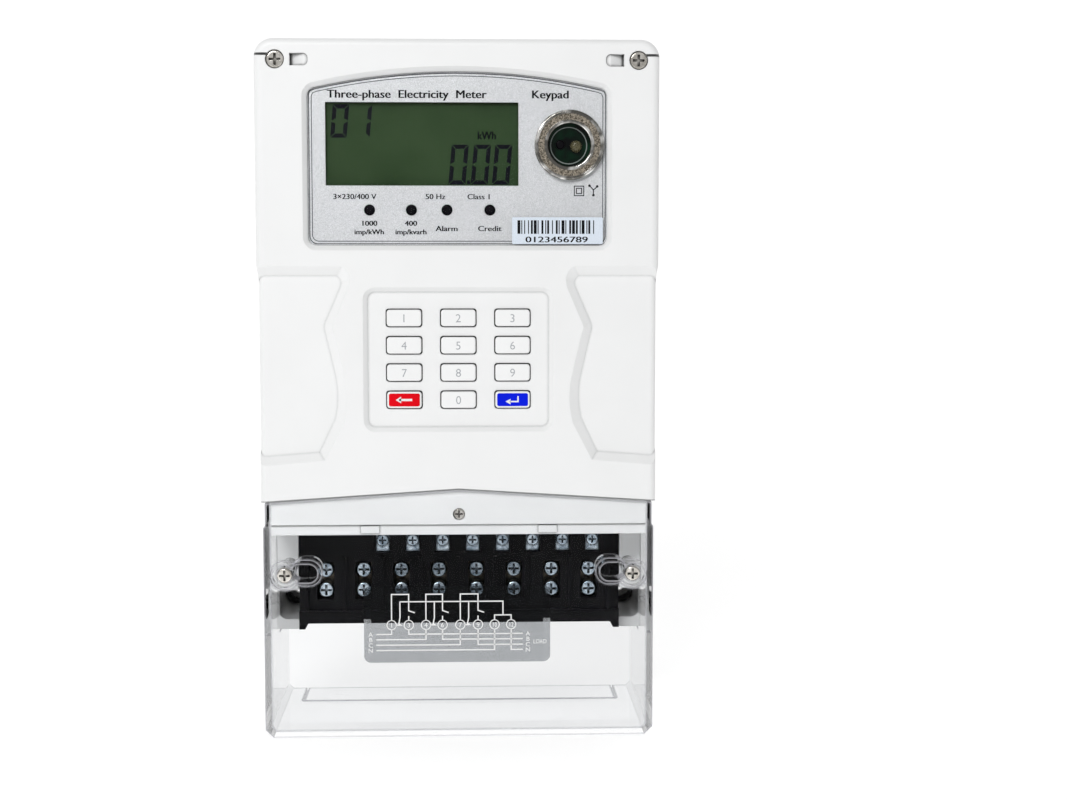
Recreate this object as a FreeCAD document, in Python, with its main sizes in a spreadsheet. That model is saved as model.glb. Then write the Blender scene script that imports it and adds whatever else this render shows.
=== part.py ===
import FreeCAD, Part
import math
import os
from types import SimpleNamespace

import Sketcher
from FreeCAD import Vector

# Three-phase keypad electricity meter, in millimetres.
# X is to the right, Z is up and the wall is the plane Y = 0, so the front faces -Y.
# The origin is on the back face, at the middle of the width. A "level" is a distance in front of the wall.

DIMENSIONS = {
    # case
    "case_wide": 170.0,
    "case_top": 150.0,
    "low_wide": 168.4,
    "step_high": 55.2,
    "step_low": 51.4,
    "corner_round": 8.0,
    "front_level": 80.0,
    "seam_level": 40.0,
    "skin": 2.5,
    "side_wall": 2.4,
    "front_inner": 75.0,
    "edge_round": 3.0,
    # terminal end of the case
    "rear_low": -108.0,
    "rim_low": -103.6,
    "shelf_wide": 160.6,
    "shelf_low": -59.7,
    "shelf_level": 77.0,
    "rail_high": -55.2,
    "chevron_mid": -39.4,
    "chevron_side": -44.8,
    # sloped side panels
    "panel_deep": 3.0,
    # window
    "window_wide": 126.0,
    "window_low": 63.8,
    "window_shoulder": 129.0,
    "window_arch": 270.0,
    "window_round": 3.5,
    "shoulder_round": 4.0,
    "shoulder_drop": 3.15,
    "shoulder_in": 3.07,
    "shoulder_rise": 0.72,
    "window_bevel": 2.0,
    "plate_level": 76.4,
    "plate_thick": 0.5,
    "lens_level": 77.2,
    "lens_thick": 1.4,
    # display
    "lcd_left": -55.5,
    "lcd_right": 25.6,
    "lcd_low": 88.9,
    "lcd_high": 123.7,
    "lcd_level": 71.9,
    "board_level": 69.5,
    "board_thick": 1.6,
    # optical port
    "port_across": 47.0,
    "port_up": 106.0,
    "port_radius": 14.75,
    "port_bore": 8.9,
    # indicators
    "indicator_up": 78.7,
    "indicator_radius": 2.3,
    # keypad
    "keypad_left": -40.2,
    "keypad_right": 40.2,
    "keypad_low": -15.0,
    "keypad_high": 46.1,
    "keypad_round": 5.0,
    "keypad_deep": 2.0,
    "key_wide": 14.6,
    "key_tall": 7.0,
    "key_round": 1.3,
    "key_gap": 0.45,
    "key_pitch_across": 22.95,
    "key_pitch_up": 11.58,
    "key_top_row": 33.25,
    "key_front": 79.4,
    # case screws, their bosses and the seal slots
    "seal_across": 76.0,
    "seal_up": 141.1,
    "seal_head": 3.6,
    "mid_screw_up": -50.8,
    "mid_screw_head": 2.3,
    "head_sunk": 2.6,
    "case_shank": 1.5,
    "boss_radius": 4.6,
    "boss_hole": 1.9,
    "slot_inner": 62.3,
    "slot_outer": 69.9,
    "slot_low": 138.5,
    "slot_high": 143.6,
    "slot_shallow": 0.6,
    "slot_deep": 4.0,
    # wall fixing
    "fixing_across": 75.0,
    "fixing_up": -96.0,
    "fixing_radius": 2.75,
    "pocket_round": 5.0,
    "ear_outer": 81.5,
    "ear_thick": 2.0,
    "ear_hole": 5.2,
    "hanger_up": 124.0,
    "hanger_room": 8.5,
    "hanger_wall": 2.0,
    "hanger_plate_half": 17.0,
    "hanger_plate_thick": 1.5,
    "hanger_hole": 5.2,
    # terminal block
    "block_half": 70.9,
    "block_high": -60.2,
    "block_low": -102.9,
    "block_front": 50.0,
    "main_first": -59.25,
    "main_pitch": 16.7,
    "main_upper": -79.8,
    "main_lower": -89.0,
    "main_head": 3.5,
    "main_head_level": 44.5,
    "main_head_thick": 3.0,
    "main_shank_long": 14.5,
    "main_slot_half": 3.75,
    "wire_radius": 4.75,
    "wire_level": 25.0,
    "cage_half": 5.9,
    "cage_low": -95.0,
    "cage_high": -73.0,
    "cage_back": 14.0,
    "cage_front": 34.0,
    "bar_back": 17.5,
    "bar_thick": 2.0,
    "bar_half": 4.0,
    "bar_high": -38.0,
    "aux_first": -34.0,
    "aux_pitch": 13.3,
    "aux_up": -66.3,
    "aux_head": 2.5,
    "aux_seat_half": 3.3,
    "aux_seat_low": -71.8,
    "aux_seat_high": -62.0,
    "aux_seat_deep": 4.0,
    "lip_high": -97.5,
    "lip_deep": 3.0,
    # terminal cover
    "cover_wide": 166.6,
    "cover_strip": 165.0,
    "cover_inner": 161.6,
    "cover_low": -147.0,
    "cover_front": 79.6,
    "cover_skin": 2.2,
    "cover_gap": 0.85,
    "cover_chamfer": 3.5,
    "cover_rear": 41.0,
    "screw_across": 74.7,
    "screw_up": -77.0,
    "screw_floor": 75.0,
    "screw_head": 3.3,
    "screw_shank": 1.7,
    "screw_slack": 0.08,
    "well_outer": 6.2,
    "well_inner": 4.9,
    "lobe_tip": 59.0,
    "lobe_half": 5.4,
    "tube_radius": 3.6,
    "insert_radius": 2.4,
    "insert_long": 11.0,
    "pillar_front": 52.0,
    "pillar_inner": 71.1,
    "pillar_outer": 80.3,
    "pillar_low": -88.0,
    "knock_out_half": 72.0,
    "knock_out_front": 25.0,
    "diagram_left": -40.8,
    "diagram_right": 39.0,
    "diagram_low": -114.5,
    "diagram_high": -81.4,
    # main board
    "main_board_level": 12.4,
    "board_post_across": 68.0,
    "board_post_low": -30.0,
    "board_post_high": 122.0,
    "display_post_across": 70.0,
    "display_post_low": -10.0,
    "display_post_high": 125.0,
    "post_radius": 3.5,
    "post_hole": 1.2,
    # phase parts behind the terminals
    "relay_half": 14.5,
    "relay_tall": 30.0,
    "relay_deep": 18.0,
    "coil_low": -56.0,
    "coil_tall": 10.0,
    "coil_outer": 12.0,
    "coil_bore": 5.5,
}
MAIN_COUNT = 8
AUX_COUNT = 8
TOLERANCE = 0.02

document = FreeCAD.newDocument("meter")
sheet = document.addObject("Spreadsheet::Sheet", "sizes")
pieces = []


class Length:
    """A size in mm that carries its number and the sheet expression it comes from."""

    def __init__(self, value, text):
        self.value = float(value)
        self.text = text

    def __add__(self, other):
        other = as_length(other)
        return Length(self.value + other.value, f"({self.text} + {other.text})")

    def __sub__(self, other):
        other = as_length(other)
        return Length(self.value - other.value, f"({self.text} - {other.text})")

    def __mul__(self, factor):
        return Length(self.value * factor, f"({self.text} * ({factor}))")

    def __truediv__(self, factor):
        return Length(self.value / factor, f"({self.text} / ({factor}))")

    def __neg__(self):
        return self * -1

    def __radd__(self, other):
        return as_length(other) + self

    def __rsub__(self, other):
        return as_length(other) - self


def as_length(size):
    return size if isinstance(size, Length) else Length(size, f"({size})")


def fill_sheet():
    """Writes every driving dimension to its own named cell."""
    lengths = {}
    for row, (alias, value) in enumerate(DIMENSIONS.items(), 1):
        sheet.set(f"A{row}", alias)
        sheet.set(f"B{row}", str(value))
        sheet.setAlias(f"B{row}", alias)
        lengths[alias] = Length(value, f"sizes.{alias}")
    document.recompute()
    return SimpleNamespace(**lengths)


D = fill_sheet()
MAIN_COLUMNS = [D.main_first + D.main_pitch * n for n in range(MAIN_COUNT)]


def arc_between(start, end, radius):
    """The shorter arc from start to end; its centre is on the left of the way there, or right if radius < 0."""
    way = end - start
    half = way.Length / 2
    side = Vector(-way.y, way.x, 0).normalize()
    rise = math.sqrt(max(radius * radius - half * half, 0.0))
    centre = (start + end) / 2 + side * math.copysign(rise, radius)
    first, last = (start, end) if radius > 0 else (end, start)
    angle_first = math.atan2(first.y - centre.y, first.x - centre.x)
    angle_last = math.atan2(last.y - centre.y, last.x - centre.x)
    circle = Part.Circle(centre, Vector(0, 0, 1), abs(radius))
    return Part.ArcOfCircle(circle, angle_first, angle_last)


class Drawing:
    """A sketch whose every corner and radius is held by a size."""

    def __init__(self, sketch):
        self.sketch = sketch
        self.edges = []
        self.rules = []
        self.sizes = {}

    def hold(self, kind, *where, size):
        """Adds a rule whose value is a size from the sheet."""
        self.sizes[len(self.rules)] = size.text
        self.rules.append(Sketcher.Constraint(kind, *where, size.value))

    def hold_point(self, geometry, vertex, across, up):
        self.hold("DistanceX", -1, 1, geometry, vertex, size=as_length(across))
        self.hold("DistanceY", -1, 1, geometry, vertex, size=as_length(up))

    def circle(self, across, up, radius):
        across, up, radius = as_length(across), as_length(up), as_length(radius)
        geometry = len(self.edges)
        self.edges.append(Part.Circle(Vector(across.value, up.value, 0), Vector(0, 0, 1), radius.value))
        self.hold_point(geometry, 3, across, up)
        self.hold("Radius", geometry, size=radius)

    def outline(self, corners):
        """A closed outline; a corner with a third value is reached by an arc of that radius."""
        points = [Vector(as_length(c[0]).value, as_length(c[1]).value, 0) for c in corners]
        first = len(self.edges)
        for index, corner in enumerate(corners):
            start, end = points[index - 1], points[index]
            if len(corner) == 3:
                self.edges.append(arc_between(start, end, as_length(corner[2]).value))
            else:
                self.edges.append(Part.LineSegment(start, end))
        for index, corner in enumerate(corners):
            following = (index + 1) % len(corners)
            leaves = self.end_vertices(corner)[1]
            arrives = self.end_vertices(corners[following])[0]
            self.rules.append(
                Sketcher.Constraint("Coincident", first + index, leaves, first + following, arrives))
            self.hold_point(first + index, leaves, corner[0], corner[1])
            if len(corner) == 3:
                radius = as_length(corner[2])
                self.hold("Radius", first + index, size=-radius if radius.value < 0 else radius)

    def finish(self):
        """Gives the sketch all its edges and rules at once, and ties the rules to the sheet."""
        self.sketch.addGeometry(self.edges, False)
        self.sketch.addConstraint(self.rules)
        for row, text in self.sizes.items():
            self.sketch.setExpression(f"Constraints[{row}]", text)
        return self.sketch

    def end_vertices(self, corner):
        """Which sketch vertices an edge starts and ends at: an arc always runs anticlockwise."""
        clockwise = len(corner) == 3 and as_length(corner[2]).value < 0
        return (2, 1) if clockwise else (1, 2)

    def rectangle(self, left, low, right, high):
        self.outline([(left, low), (right, low), (right, high), (left, high)])

    def rounded(self, left, low, right, high, radius):
        left, low, right, high = (as_length(side) for side in (left, low, right, high))
        radius = as_length(radius)
        self.outline([
            (right - radius, low), (right, low + radius, radius),
            (right, high - radius), (right - radius, high, radius),
            (left + radius, high), (left, high - radius, radius),
            (left, low + radius), (left + radius, low, radius),
        ])


class Piece:
    """One separate part of the meter: a body made of pads, pockets and rounded edges."""

    def __init__(self, label):
        self.label = label
        self.body = document.addObject("PartDesign::Body", label)
        self.body.Label = label
        self.planes = {feature.Role: feature for feature in self.body.Origin.OriginFeatures}
        pieces.append(self.body)

    def drawing(self, level, plane="XZ_Plane"):
        """A sketch at a level in front of the wall, or at a height or offset on another plane."""
        sketch = self.body.newObject("Sketcher::SketchObject", f"{self.label}_sketch")
        sketch.AttachmentSupport = [(self.planes[plane], "")]
        sketch.MapMode = "FlatFace"
        sketch.setExpression("AttachmentOffset.Base.z", as_length(level).text)
        return Drawing(sketch)

    def pad(self, drawing, length, backward=False):
        return self.extrude("PartDesign::Pad", drawing, length, backward)

    def pocket(self, drawing, length, forward=False, slope=0):
        """Cuts towards the wall, or away from it; a sloped pocket gets narrower as it goes in."""
        document.recompute()
        before = self.body.Shape.Volume
        feature = self.extrude("PartDesign::Pocket", drawing, length, forward)
        feature.TaperAngle = -slope
        document.recompute()
        if before - self.body.Shape.Volume < TOLERANCE:
            raise RuntimeError(f"{self.label}: {feature.Name} cuts nothing")
        return feature

    def repeat(self, features, across, up=None):
        """Repeats features, or the whole piece, in a row across or a grid; each way is (step, count)."""
        pattern = self.body.newObject("PartDesign::LinearPattern", f"{self.label}_pattern")
        if features:
            pattern.Originals = features
        else:
            pattern.TransformMode = "Whole shape"
        for number, axis, way in (("", "X_Axis", across), ("2", "Z_Axis", up)):
            if way:
                step, count = way
                setattr(pattern, f"Direction{number}", (self.planes[axis], [""]))
                pattern.setExpression(f"Length{number}", (as_length(step) * (count - 1)).text)
                setattr(pattern, f"Occurrences{number}", count)
        self.body.Tip = pattern
        document.recompute()

    def sink(self, upper, lower):
        """Cuts a hollow whose sides slope from one outline to a lower one."""
        feature = self.body.newObject("PartDesign::SubtractiveLoft", f"{self.label}_sink")
        feature.Profile = upper.finish()
        feature.Sections = [lower.finish()]
        feature.Ruled = True

    def extrude(self, kind, drawing, length, backward):
        feature = self.body.newObject(kind, f"{self.label}_{kind.split('::')[1].lower()}")
        feature.Profile = drawing.finish()
        feature.setExpression("Length", as_length(length).text)
        feature.Reversed = backward
        return feature

    def dress(self, kind, size_name, low, high, size):
        """Rounds or bevels every edge that lies wholly inside the box from low to high."""
        document.recompute()
        names = [f"Edge{n}" for n, edge in enumerate(self.body.Shape.Edges, 1) if lies_within(edge, low, high)]
        if not names:
            raise RuntimeError(f"{self.label}: no edge to {kind}")
        self.round_off(names, kind, size_name, size)

    def round_off(self, names, kind, size_name, size):
        base = self.body.Tip
        feature = self.body.newObject(kind, f"{self.label}_edges")
        feature.Base = (base, names)
        feature.setExpression(size_name, as_length(size).text)
        document.recompute()

    def fillet(self, low, high, radius):
        self.dress("PartDesign::Fillet", "Radius", low, high, radius)

    def chamfer(self, low, high, size):
        self.dress("PartDesign::Chamfer", "Size", low, high, size)


def numbers(point):
    return [as_length(value).value for value in point]


def lies_within(edge, low, high):
    box = edge.BoundBox
    low, high = numbers(low), numbers(high)
    least = (box.XMin, box.YMin, box.ZMin)
    most = (box.XMax, box.YMax, box.ZMax)
    return all(low[axis] - TOLERANCE <= least[axis] for axis in range(3)) and all(
        most[axis] <= high[axis] + TOLERANCE for axis in range(3))


FAR = 500.0


def slab(level):
    """The box that holds only what lies flat at one level in front of the wall."""
    return (-FAR, -level, -FAR), (FAR, -level, FAR)


def ordered(first, second):
    """Two sizes with the lower one first."""
    return (first, second) if first.value <= second.value else (second, first)


def mirrored(corners):
    """An outline's corners on the other side of the middle, in the opposite order."""
    return [(-as_length(across), up) for across, up in reversed(corners)]


# ---------------------------------------------------------------- case


def case_outline(low):
    """Half of the case's outline, from the top down to a given height, on the right."""
    return [
        (D.case_wide / 2, D.case_top),
        (D.case_wide / 2, D.step_high),
        (D.low_wide / 2, D.step_low),
        (D.low_wide / 2, low),
    ]


def round_top_corners(piece, near, far):
    for side in (-1, 1):
        corner = D.case_wide / 2 * side
        piece.fillet((corner, -far, D.case_top), (corner, -near, D.case_top), D.corner_round)


def side_panel(side, outer):
    """One side's hourglass panel, at the front face or at the foot of its sloped edge."""
    out = FAR / 5
    if outer:
        corners = [
            (-out, 55.0), (-49.0, 55.0), (-45.5, 49.5, -6.5), (-46.0, 46.2), (-52.8, 30.5),
            (-52.4, 27.0, 4.0), (-48.4, 10.0), (-48.6, -11.5, -42.0), (-56.7, -27.2), (-out, -31.0),
        ]
    else:
        corners = [
            (-out, 51.0), (-51.3, 51.0), (-49.4, 48.0, -4.0), (-49.9, 46.0), (-56.5, 31.0),
            (-56.3, 27.0, 6.0), (-52.3, 9.5), (-52.4, -9.6, -42.0), (-59.2, -23.9), (-out, -26.9),
        ]
    return [(corner[0] * -side, corner[1], *(radius * -side for radius in corner[2:])) for corner in corners]


def front_case():
    """The white front shell: window, keypad recess, side panels and the shelf under the cover."""
    piece = Piece("front_case")
    body = piece.drawing(D.seam_level)
    shelf_half = D.shelf_wide / 2
    side_low = D.chevron_side - 0.6
    half = case_outline(side_low) + [(shelf_half, side_low), (shelf_half, D.shelf_low)]
    body.outline(mirrored(half) + half)
    piece.pad(body, D.front_level - D.seam_level)
    round_top_corners(piece, D.seam_level, D.front_level)
    round_front_edges(piece)
    sink_side_panels(piece)
    cut_shelf(piece)
    hollow = piece.drawing(D.seam_level)
    inner = D.low_wide / 2 - D.side_wall
    shelf_inner = D.shelf_wide / 2 - D.side_wall
    half = [(inner, D.case_top - D.skin), (inner, side_low + D.skin), (shelf_inner, side_low + D.skin),
            (shelf_inner, D.shelf_low + D.skin)]
    hollow.outline(mirrored(half) + half)
    piece.pocket(hollow, D.front_inner - D.seam_level, forward=True)
    cut_window(piece)
    cut_keypad(piece)
    add_screw_bosses(piece)
    cut_seal_features(piece)
    add_display_posts(piece)


def round_front_edges(piece):
    """Rounds the outer edges of the front: the top, its corners and both sides down to the shelf."""
    level = -D.front_level
    left, right = -D.case_wide / 2, D.case_wide / 2
    shelf = D.chevron_side - 1.0
    inside = D.low_wide / 2 - 0.1
    document.recompute()
    names = []
    for number, edge in enumerate(piece.body.Shape.Edges, 1):
        at_left = lies_within(edge, (left, level, shelf), (-inside, level, FAR))
        at_right = lies_within(edge, (inside, level, shelf), (right, level, FAR))
        at_top = lies_within(edge, (left, level, D.case_top - D.corner_round), (right, level, FAR))
        if at_left or at_right or at_top:
            names.append(f"Edge{number}")
    piece.round_off(names, "PartDesign::Fillet", "Radius", D.edge_round)


def sink_side_panels(piece):
    """Cuts the two hourglass panels with their sloped edges, and rounds their outer sides."""
    floor_level = D.front_level - D.panel_deep
    for side in (-1, 1):
        front = piece.drawing(D.front_level)
        front.outline(side_panel(side, outer=True))
        floor = piece.drawing(floor_level)
        floor.outline(side_panel(side, outer=False))
        piece.sink(front, floor)
    for side in (-1, 1):
        edge = D.low_wide / 2 * side
        piece.fillet((edge, -floor_level, -30.0), (edge, -floor_level, D.step_low), D.edge_round - 0.5)


def cut_shelf(piece):
    """The lower front steps back under the clear cover, with a rail along its bottom edge."""
    out = D.case_wide
    shelf = piece.drawing(D.front_level)
    beyond = D.chevron_side * 2 - D.chevron_mid
    shelf.outline([(-out, -FAR), (out, -FAR), (out, beyond), (0, D.chevron_mid), (-out, beyond)])
    piece.pocket(shelf, D.front_level - D.shelf_level)
    rail = piece.drawing(D.shelf_level)
    rail.rectangle(-out, -FAR, out, D.rail_high)
    piece.pocket(rail, 1.0)
    tabs = piece.drawing(D.shelf_level - 1.0)
    for side in (-1, 1):
        tabs.rectangle(side * 38.0 - 4.0, D.shelf_low + 0.8, side * 38.0 + 4.0, D.rail_high - 0.6)
    piece.pad(tabs, 0.4)


def window_outline(inset):
    """The window's arched outline, drawn in by an inset all round."""
    half = D.window_wide / 2 - inset
    low = D.window_low + inset
    shoulder = D.window_shoulder - inset
    side_top = shoulder - D.shoulder_drop
    arch_half, arch_end = half - D.shoulder_in, shoulder + D.shoulder_rise
    round_low = D.window_round
    return [
        (half - round_low, low), (half, low + round_low, round_low),
        (half, side_top), (arch_half, arch_end, D.shoulder_round),
        (-arch_half, arch_end, D.window_arch), (-half, side_top, D.shoulder_round),
        (-half, low + round_low), (-half + round_low, low, round_low),
    ]


def cut_window(piece):
    """The opening for the nameplate and lens, with a ledge behind and a bevelled rim."""
    opening = piece.drawing(D.front_level)
    opening.outline(window_outline(0))
    piece.pocket(opening, D.front_level - D.plate_level)
    clear = piece.drawing(D.plate_level)
    clear.rectangle(-61.5, D.window_low + 3.0, 61.5, D.window_shoulder)
    piece.pocket(clear, D.plate_level - D.front_inner)
    half = D.window_wide / 2
    level = D.front_level
    piece.chamfer((-half, -level, D.window_low), (half, -level, D.case_top - 8.0), D.window_bevel)


def key_places():
    """The middle of every key, by name, in rows from the top."""
    rows = [("1", "2", "3"), ("4", "5", "6"), ("7", "8", "9"), ("backspace", "0", "enter")]
    places = {}
    for down, names in enumerate(rows):
        for along, name in enumerate(names):
            places[name] = (D.key_pitch_across * (along - 1), D.key_top_row - D.key_pitch_up * down)
    return places


def cut_keypad(piece):
    """A shallow recess with sloped edges, and an opening for each key in its floor."""
    recess = piece.drawing(D.front_level)
    recess.rounded(D.keypad_left, D.keypad_low, D.keypad_right, D.keypad_high, D.keypad_round)
    piece.pocket(recess, D.keypad_deep, slope=45)
    opening = piece.drawing(D.front_level - D.keypad_deep)
    half_wide = D.key_wide / 2 + D.key_gap
    half_tall = D.key_tall / 2 + D.key_gap
    across, up = key_places()["backspace"]
    opening.rounded(across - half_wide, up - half_tall, across + half_wide, up + half_tall, D.key_round)
    cut = piece.pocket(opening, D.front_level - D.keypad_deep - D.front_inner)
    piece.repeat([cut], (D.key_pitch_across, 3), (D.key_pitch_up, 4))


def seal_places():
    return [(D.seal_across * side, D.seal_up) for side in (-1, 1)]


def case_screw_places():
    return seal_places() + [(0, D.mid_screw_up)]


def add_screw_bosses(piece):
    """Inside bosses for the two top screws and the screw in the shelf, with their holes."""
    bosses = piece.drawing(D.front_inner + 0.5)
    for across, up in case_screw_places():
        bosses.circle(across, up, D.boss_radius)
    piece.pad(bosses, D.front_inner + 0.5 - D.seam_level, backward=True)
    holes = piece.drawing(D.front_level)
    for across, up in case_screw_places():
        holes.circle(across, up, D.boss_hole)
    piece.pocket(holes, D.front_level - D.seam_level)
    heads = piece.drawing(D.front_level)
    for across, up in seal_places():
        heads.circle(across, up, D.seal_head + 0.35)
    piece.pocket(heads, D.head_sunk)
    sunk = piece.drawing(D.shelf_level)
    sunk.circle(0, D.mid_screw_up, D.mid_screw_head + 0.3)
    piece.pocket(sunk, D.head_sunk)


def cut_seal_features(piece):
    """Slots for the seal wire that slope down outwards, and a groove from each top screw to the side."""
    slots = piece.drawing(D.front_level)
    grooves = piece.drawing(D.front_level)
    ramps = piece.drawing(D.slot_high, "XY_Plane")
    face = -D.front_level
    inner, outer = D.slot_inner, D.slot_outer
    groove_inner = D.seal_across + D.seal_head - 0.6
    for side in (-1, 1):
        left, right = ordered(inner * side, outer * side)
        slots.rounded(left, D.slot_low, right, D.slot_high, 2.0)
        ramps.outline([(outer * side, face), (outer * side, face + D.slot_deep),
                       ((inner + 2.0) * side, face + D.slot_shallow), ((inner + 2.0) * side, face)])
        left, right = ordered(groove_inner * side, D.case_wide / 2 * side * 1.01)
        grooves.rectangle(left, D.slot_high - 0.9, right, D.slot_high + 0.1)
    piece.pocket(slots, D.slot_shallow)
    piece.pocket(ramps, D.slot_high - D.slot_low)
    piece.pocket(grooves, 2.2)


def corners_of(half_across, low, high):
    """The four corners of a rectangle about the middle."""
    return [(half_across * side, up) for side in (-1, 1) for up in (low, high)]


def display_posts():
    return corners_of(D.display_post_across, D.display_post_low, D.display_post_high)


def add_display_posts(piece):
    posts = piece.drawing(D.front_inner)
    holes = piece.drawing(D.board_level)
    for across, up in display_posts():
        posts.circle(across, up, D.post_radius)
        holes.circle(across, up, D.post_hole)
    piece.pad(posts, D.front_inner - D.board_level, backward=True)
    piece.pocket(holes, 5.0, forward=True)


def rear_case():
    """The white rear shell: back plate, side walls, cover-screw pillars and wall fixings."""
    piece = Piece("rear_case")
    body = piece.drawing(0)
    half = case_outline(D.rear_low)
    body.outline(mirrored(half) + half)
    piece.pad(body, D.seam_level)
    round_top_corners(piece, 0, D.seam_level)
    inner = D.low_wide / 2 - D.side_wall
    hollow = piece.drawing(D.seam_level)
    low, high, corner = D.rim_low, D.case_top - D.skin, D.pocket_round
    hollow.outline([
        (inner - corner, low), (inner, low + corner, corner), (inner, high), (-inner, high),
        (-inner, low + corner), (-inner + corner, low, corner),
    ])
    piece.pocket(hollow, D.seam_level - D.skin)
    mouth = piece.drawing(D.seam_level)
    edge = D.block_half + 0.3
    mouth.rectangle(-edge, D.rear_low - 1, edge, D.rim_low + 1)
    piece.pocket(mouth, D.seam_level - D.skin)
    add_pillars(piece, inner)
    add_rear_posts(piece)
    add_hanger_box(piece)
    holes = piece.drawing(D.skin)
    for side in (-1, 1):
        holes.circle(D.fixing_across * side, D.fixing_up, D.fixing_radius)
    piece.pocket(holes, D.skin)


def add_pillars(piece, inner):
    """The posts beside the terminals that the cover screws go into."""
    low_part = piece.drawing(D.skin)
    high_part = piece.drawing(D.seam_level)
    bores = piece.drawing(D.pillar_front)
    for side in (-1, 1):
        left, right = ordered(D.pillar_inner * side, inner * side)
        low_part.rectangle(left, D.pillar_low, right, D.block_high)
        left, right = ordered(D.pillar_inner * side, D.pillar_outer * side)
        high_part.rectangle(left, D.pillar_low, right, D.block_high)
        bores.circle(D.screw_across * side, D.screw_up, D.insert_radius)
    piece.pad(low_part, D.seam_level - D.skin)
    piece.pad(high_part, D.pillar_front - D.seam_level)
    piece.pocket(bores, D.insert_long + 1.0)


def board_posts():
    return corners_of(D.board_post_across, D.board_post_low, D.board_post_high)


def add_rear_posts(piece):
    """Posts for the main board and for the three case screws."""
    low = piece.drawing(D.skin)
    low_holes = piece.drawing(D.main_board_level)
    for across, up in board_posts():
        low.circle(across, up, D.post_radius)
        low_holes.circle(across, up, D.post_hole)
    piece.pad(low, D.main_board_level - D.skin)
    piece.pocket(low_holes, D.main_board_level - D.skin - 1.9)
    high = piece.drawing(D.skin)
    high_holes = piece.drawing(D.seam_level)
    for across, up in case_screw_places():
        high.circle(across, up, D.case_shank + 1.7)
        high_holes.circle(across, up, D.case_shank + 0.05)
    piece.pad(high, D.seam_level - D.skin)
    piece.pocket(high_holes, 16.0)


def add_hanger_box(piece):
    """A closed box inside the back, so that a wall screw's head can sit behind the hanger plate."""
    half, wall = D.hanger_room, D.hanger_wall
    low, high = D.hanger_up - 6.0, D.hanger_up + 14.0
    box = piece.drawing(D.skin)
    box.rectangle(-half - wall, low - wall, half + wall, high + wall)
    piece.pad(box, half - D.skin + wall)
    room = piece.drawing(0)
    room.rectangle(-half, low, half, high)
    piece.pocket(room, half, forward=True)
    seat = piece.drawing(0)
    half = D.hanger_plate_half
    seat.rectangle(-half, low - 6.0, half, high + 6.0)
    piece.pocket(seat, D.hanger_plate_thick, forward=True)


def hanger_plate():
    """A steel plate in the back with a keyhole that hangs on a wall screw."""
    piece = Piece("hanger_plate")
    thick = D.hanger_plate_thick
    half = D.hanger_plate_half - 0.1
    plate = piece.drawing(0)
    plate.rounded(-half, D.hanger_up - 11.9, half, D.hanger_up + 19.9, 2.0)
    piece.pad(plate, thick)
    keyhole = piece.drawing(thick)
    keyhole.circle(0, D.hanger_up, D.hanger_hole)
    piece.pocket(keyhole, thick)
    slot = piece.drawing(thick)
    half = D.fixing_radius
    slot.rounded(-half, D.hanger_up, half, D.hanger_up + 12.0, half - 0.05)
    piece.pocket(slot, thick)


# ---------------------------------------------------------------- screws


def screws(label, first, level, head, shank, backward=False, across=None, up=None):
    """Cross-recess pan-head screws along the depth; level is the underside of the heads.

    head and shank are each (radius, length); across and up are (step, count) of a row or grid.
    """
    piece = Piece(label)
    middle, height = (as_length(size) for size in first)
    head_radius, head_thick = (as_length(size) for size in head)
    shank_radius, shank_long = shank
    face = level + head_thick * (-1 if backward else 1)
    arm, half = head_radius * 0.68, head_radius * 0.15
    round_head = piece.drawing(level)
    round_head.circle(middle, height, head_radius)
    piece.pad(round_head, head_thick, backward=backward)
    round_shank = piece.drawing(level)
    round_shank.circle(middle, height, shank_radius)
    piece.pad(round_shank, shank_long, backward=not backward)
    piece.fillet(*slab(face.value), head_thick * 0.28)
    cross = piece.drawing(face)
    cross.outline([
        (middle + half, height + arm), (middle - half, height + arm), (middle - half, height + half),
        (middle - arm, height + half), (middle - arm, height - half), (middle - half, height - half),
        (middle - half, height - arm), (middle + half, height - arm), (middle + half, height - half),
        (middle + arm, height - half), (middle + arm, height + half), (middle + half, height + half),
    ])
    piece.pocket(cross, head_thick * 0.8, forward=backward)
    if across:
        piece.repeat([], across, up)


def case_screws():
    screws("case_seal_screws", (-D.seal_across, D.seal_up), D.front_level - D.head_sunk,
           (D.seal_head, 2.2), (D.case_shank, 50.0), across=(D.seal_across * 2, 2))
    screws("case_centre_screw", (0, D.mid_screw_up), D.shelf_level - D.head_sunk,
           (D.mid_screw_head, 1.7), (D.case_shank, 46.0))


def cover_screws():
    """The two long captive screws that hold the terminal cover."""
    for name, side in (("left", -1), ("right", 1)):
        place = (D.screw_across * side, D.screw_up)
        screws(f"cover_screw_{name}", place, D.screw_floor, (D.screw_head, 2.6), (D.screw_shank, 32.0))


def cover_screw_inserts():
    """Threaded brass inserts in the pillars."""
    piece = Piece("cover_screw_inserts")
    sleeves = piece.drawing(D.pillar_front)
    for side in (-1, 1):
        sleeves.circle(D.screw_across * side, D.screw_up, D.insert_radius)
        sleeves.circle(D.screw_across * side, D.screw_up, D.screw_shank + D.screw_slack)
    piece.pad(sleeves, D.insert_long, backward=True)


# ---------------------------------------------------------------- window and display


def indicator_columns():
    return {"kwh_pulse": -37.2, "kvarh_pulse": -19.6, "alarm": -4.6, "credit": 13.5}


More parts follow.
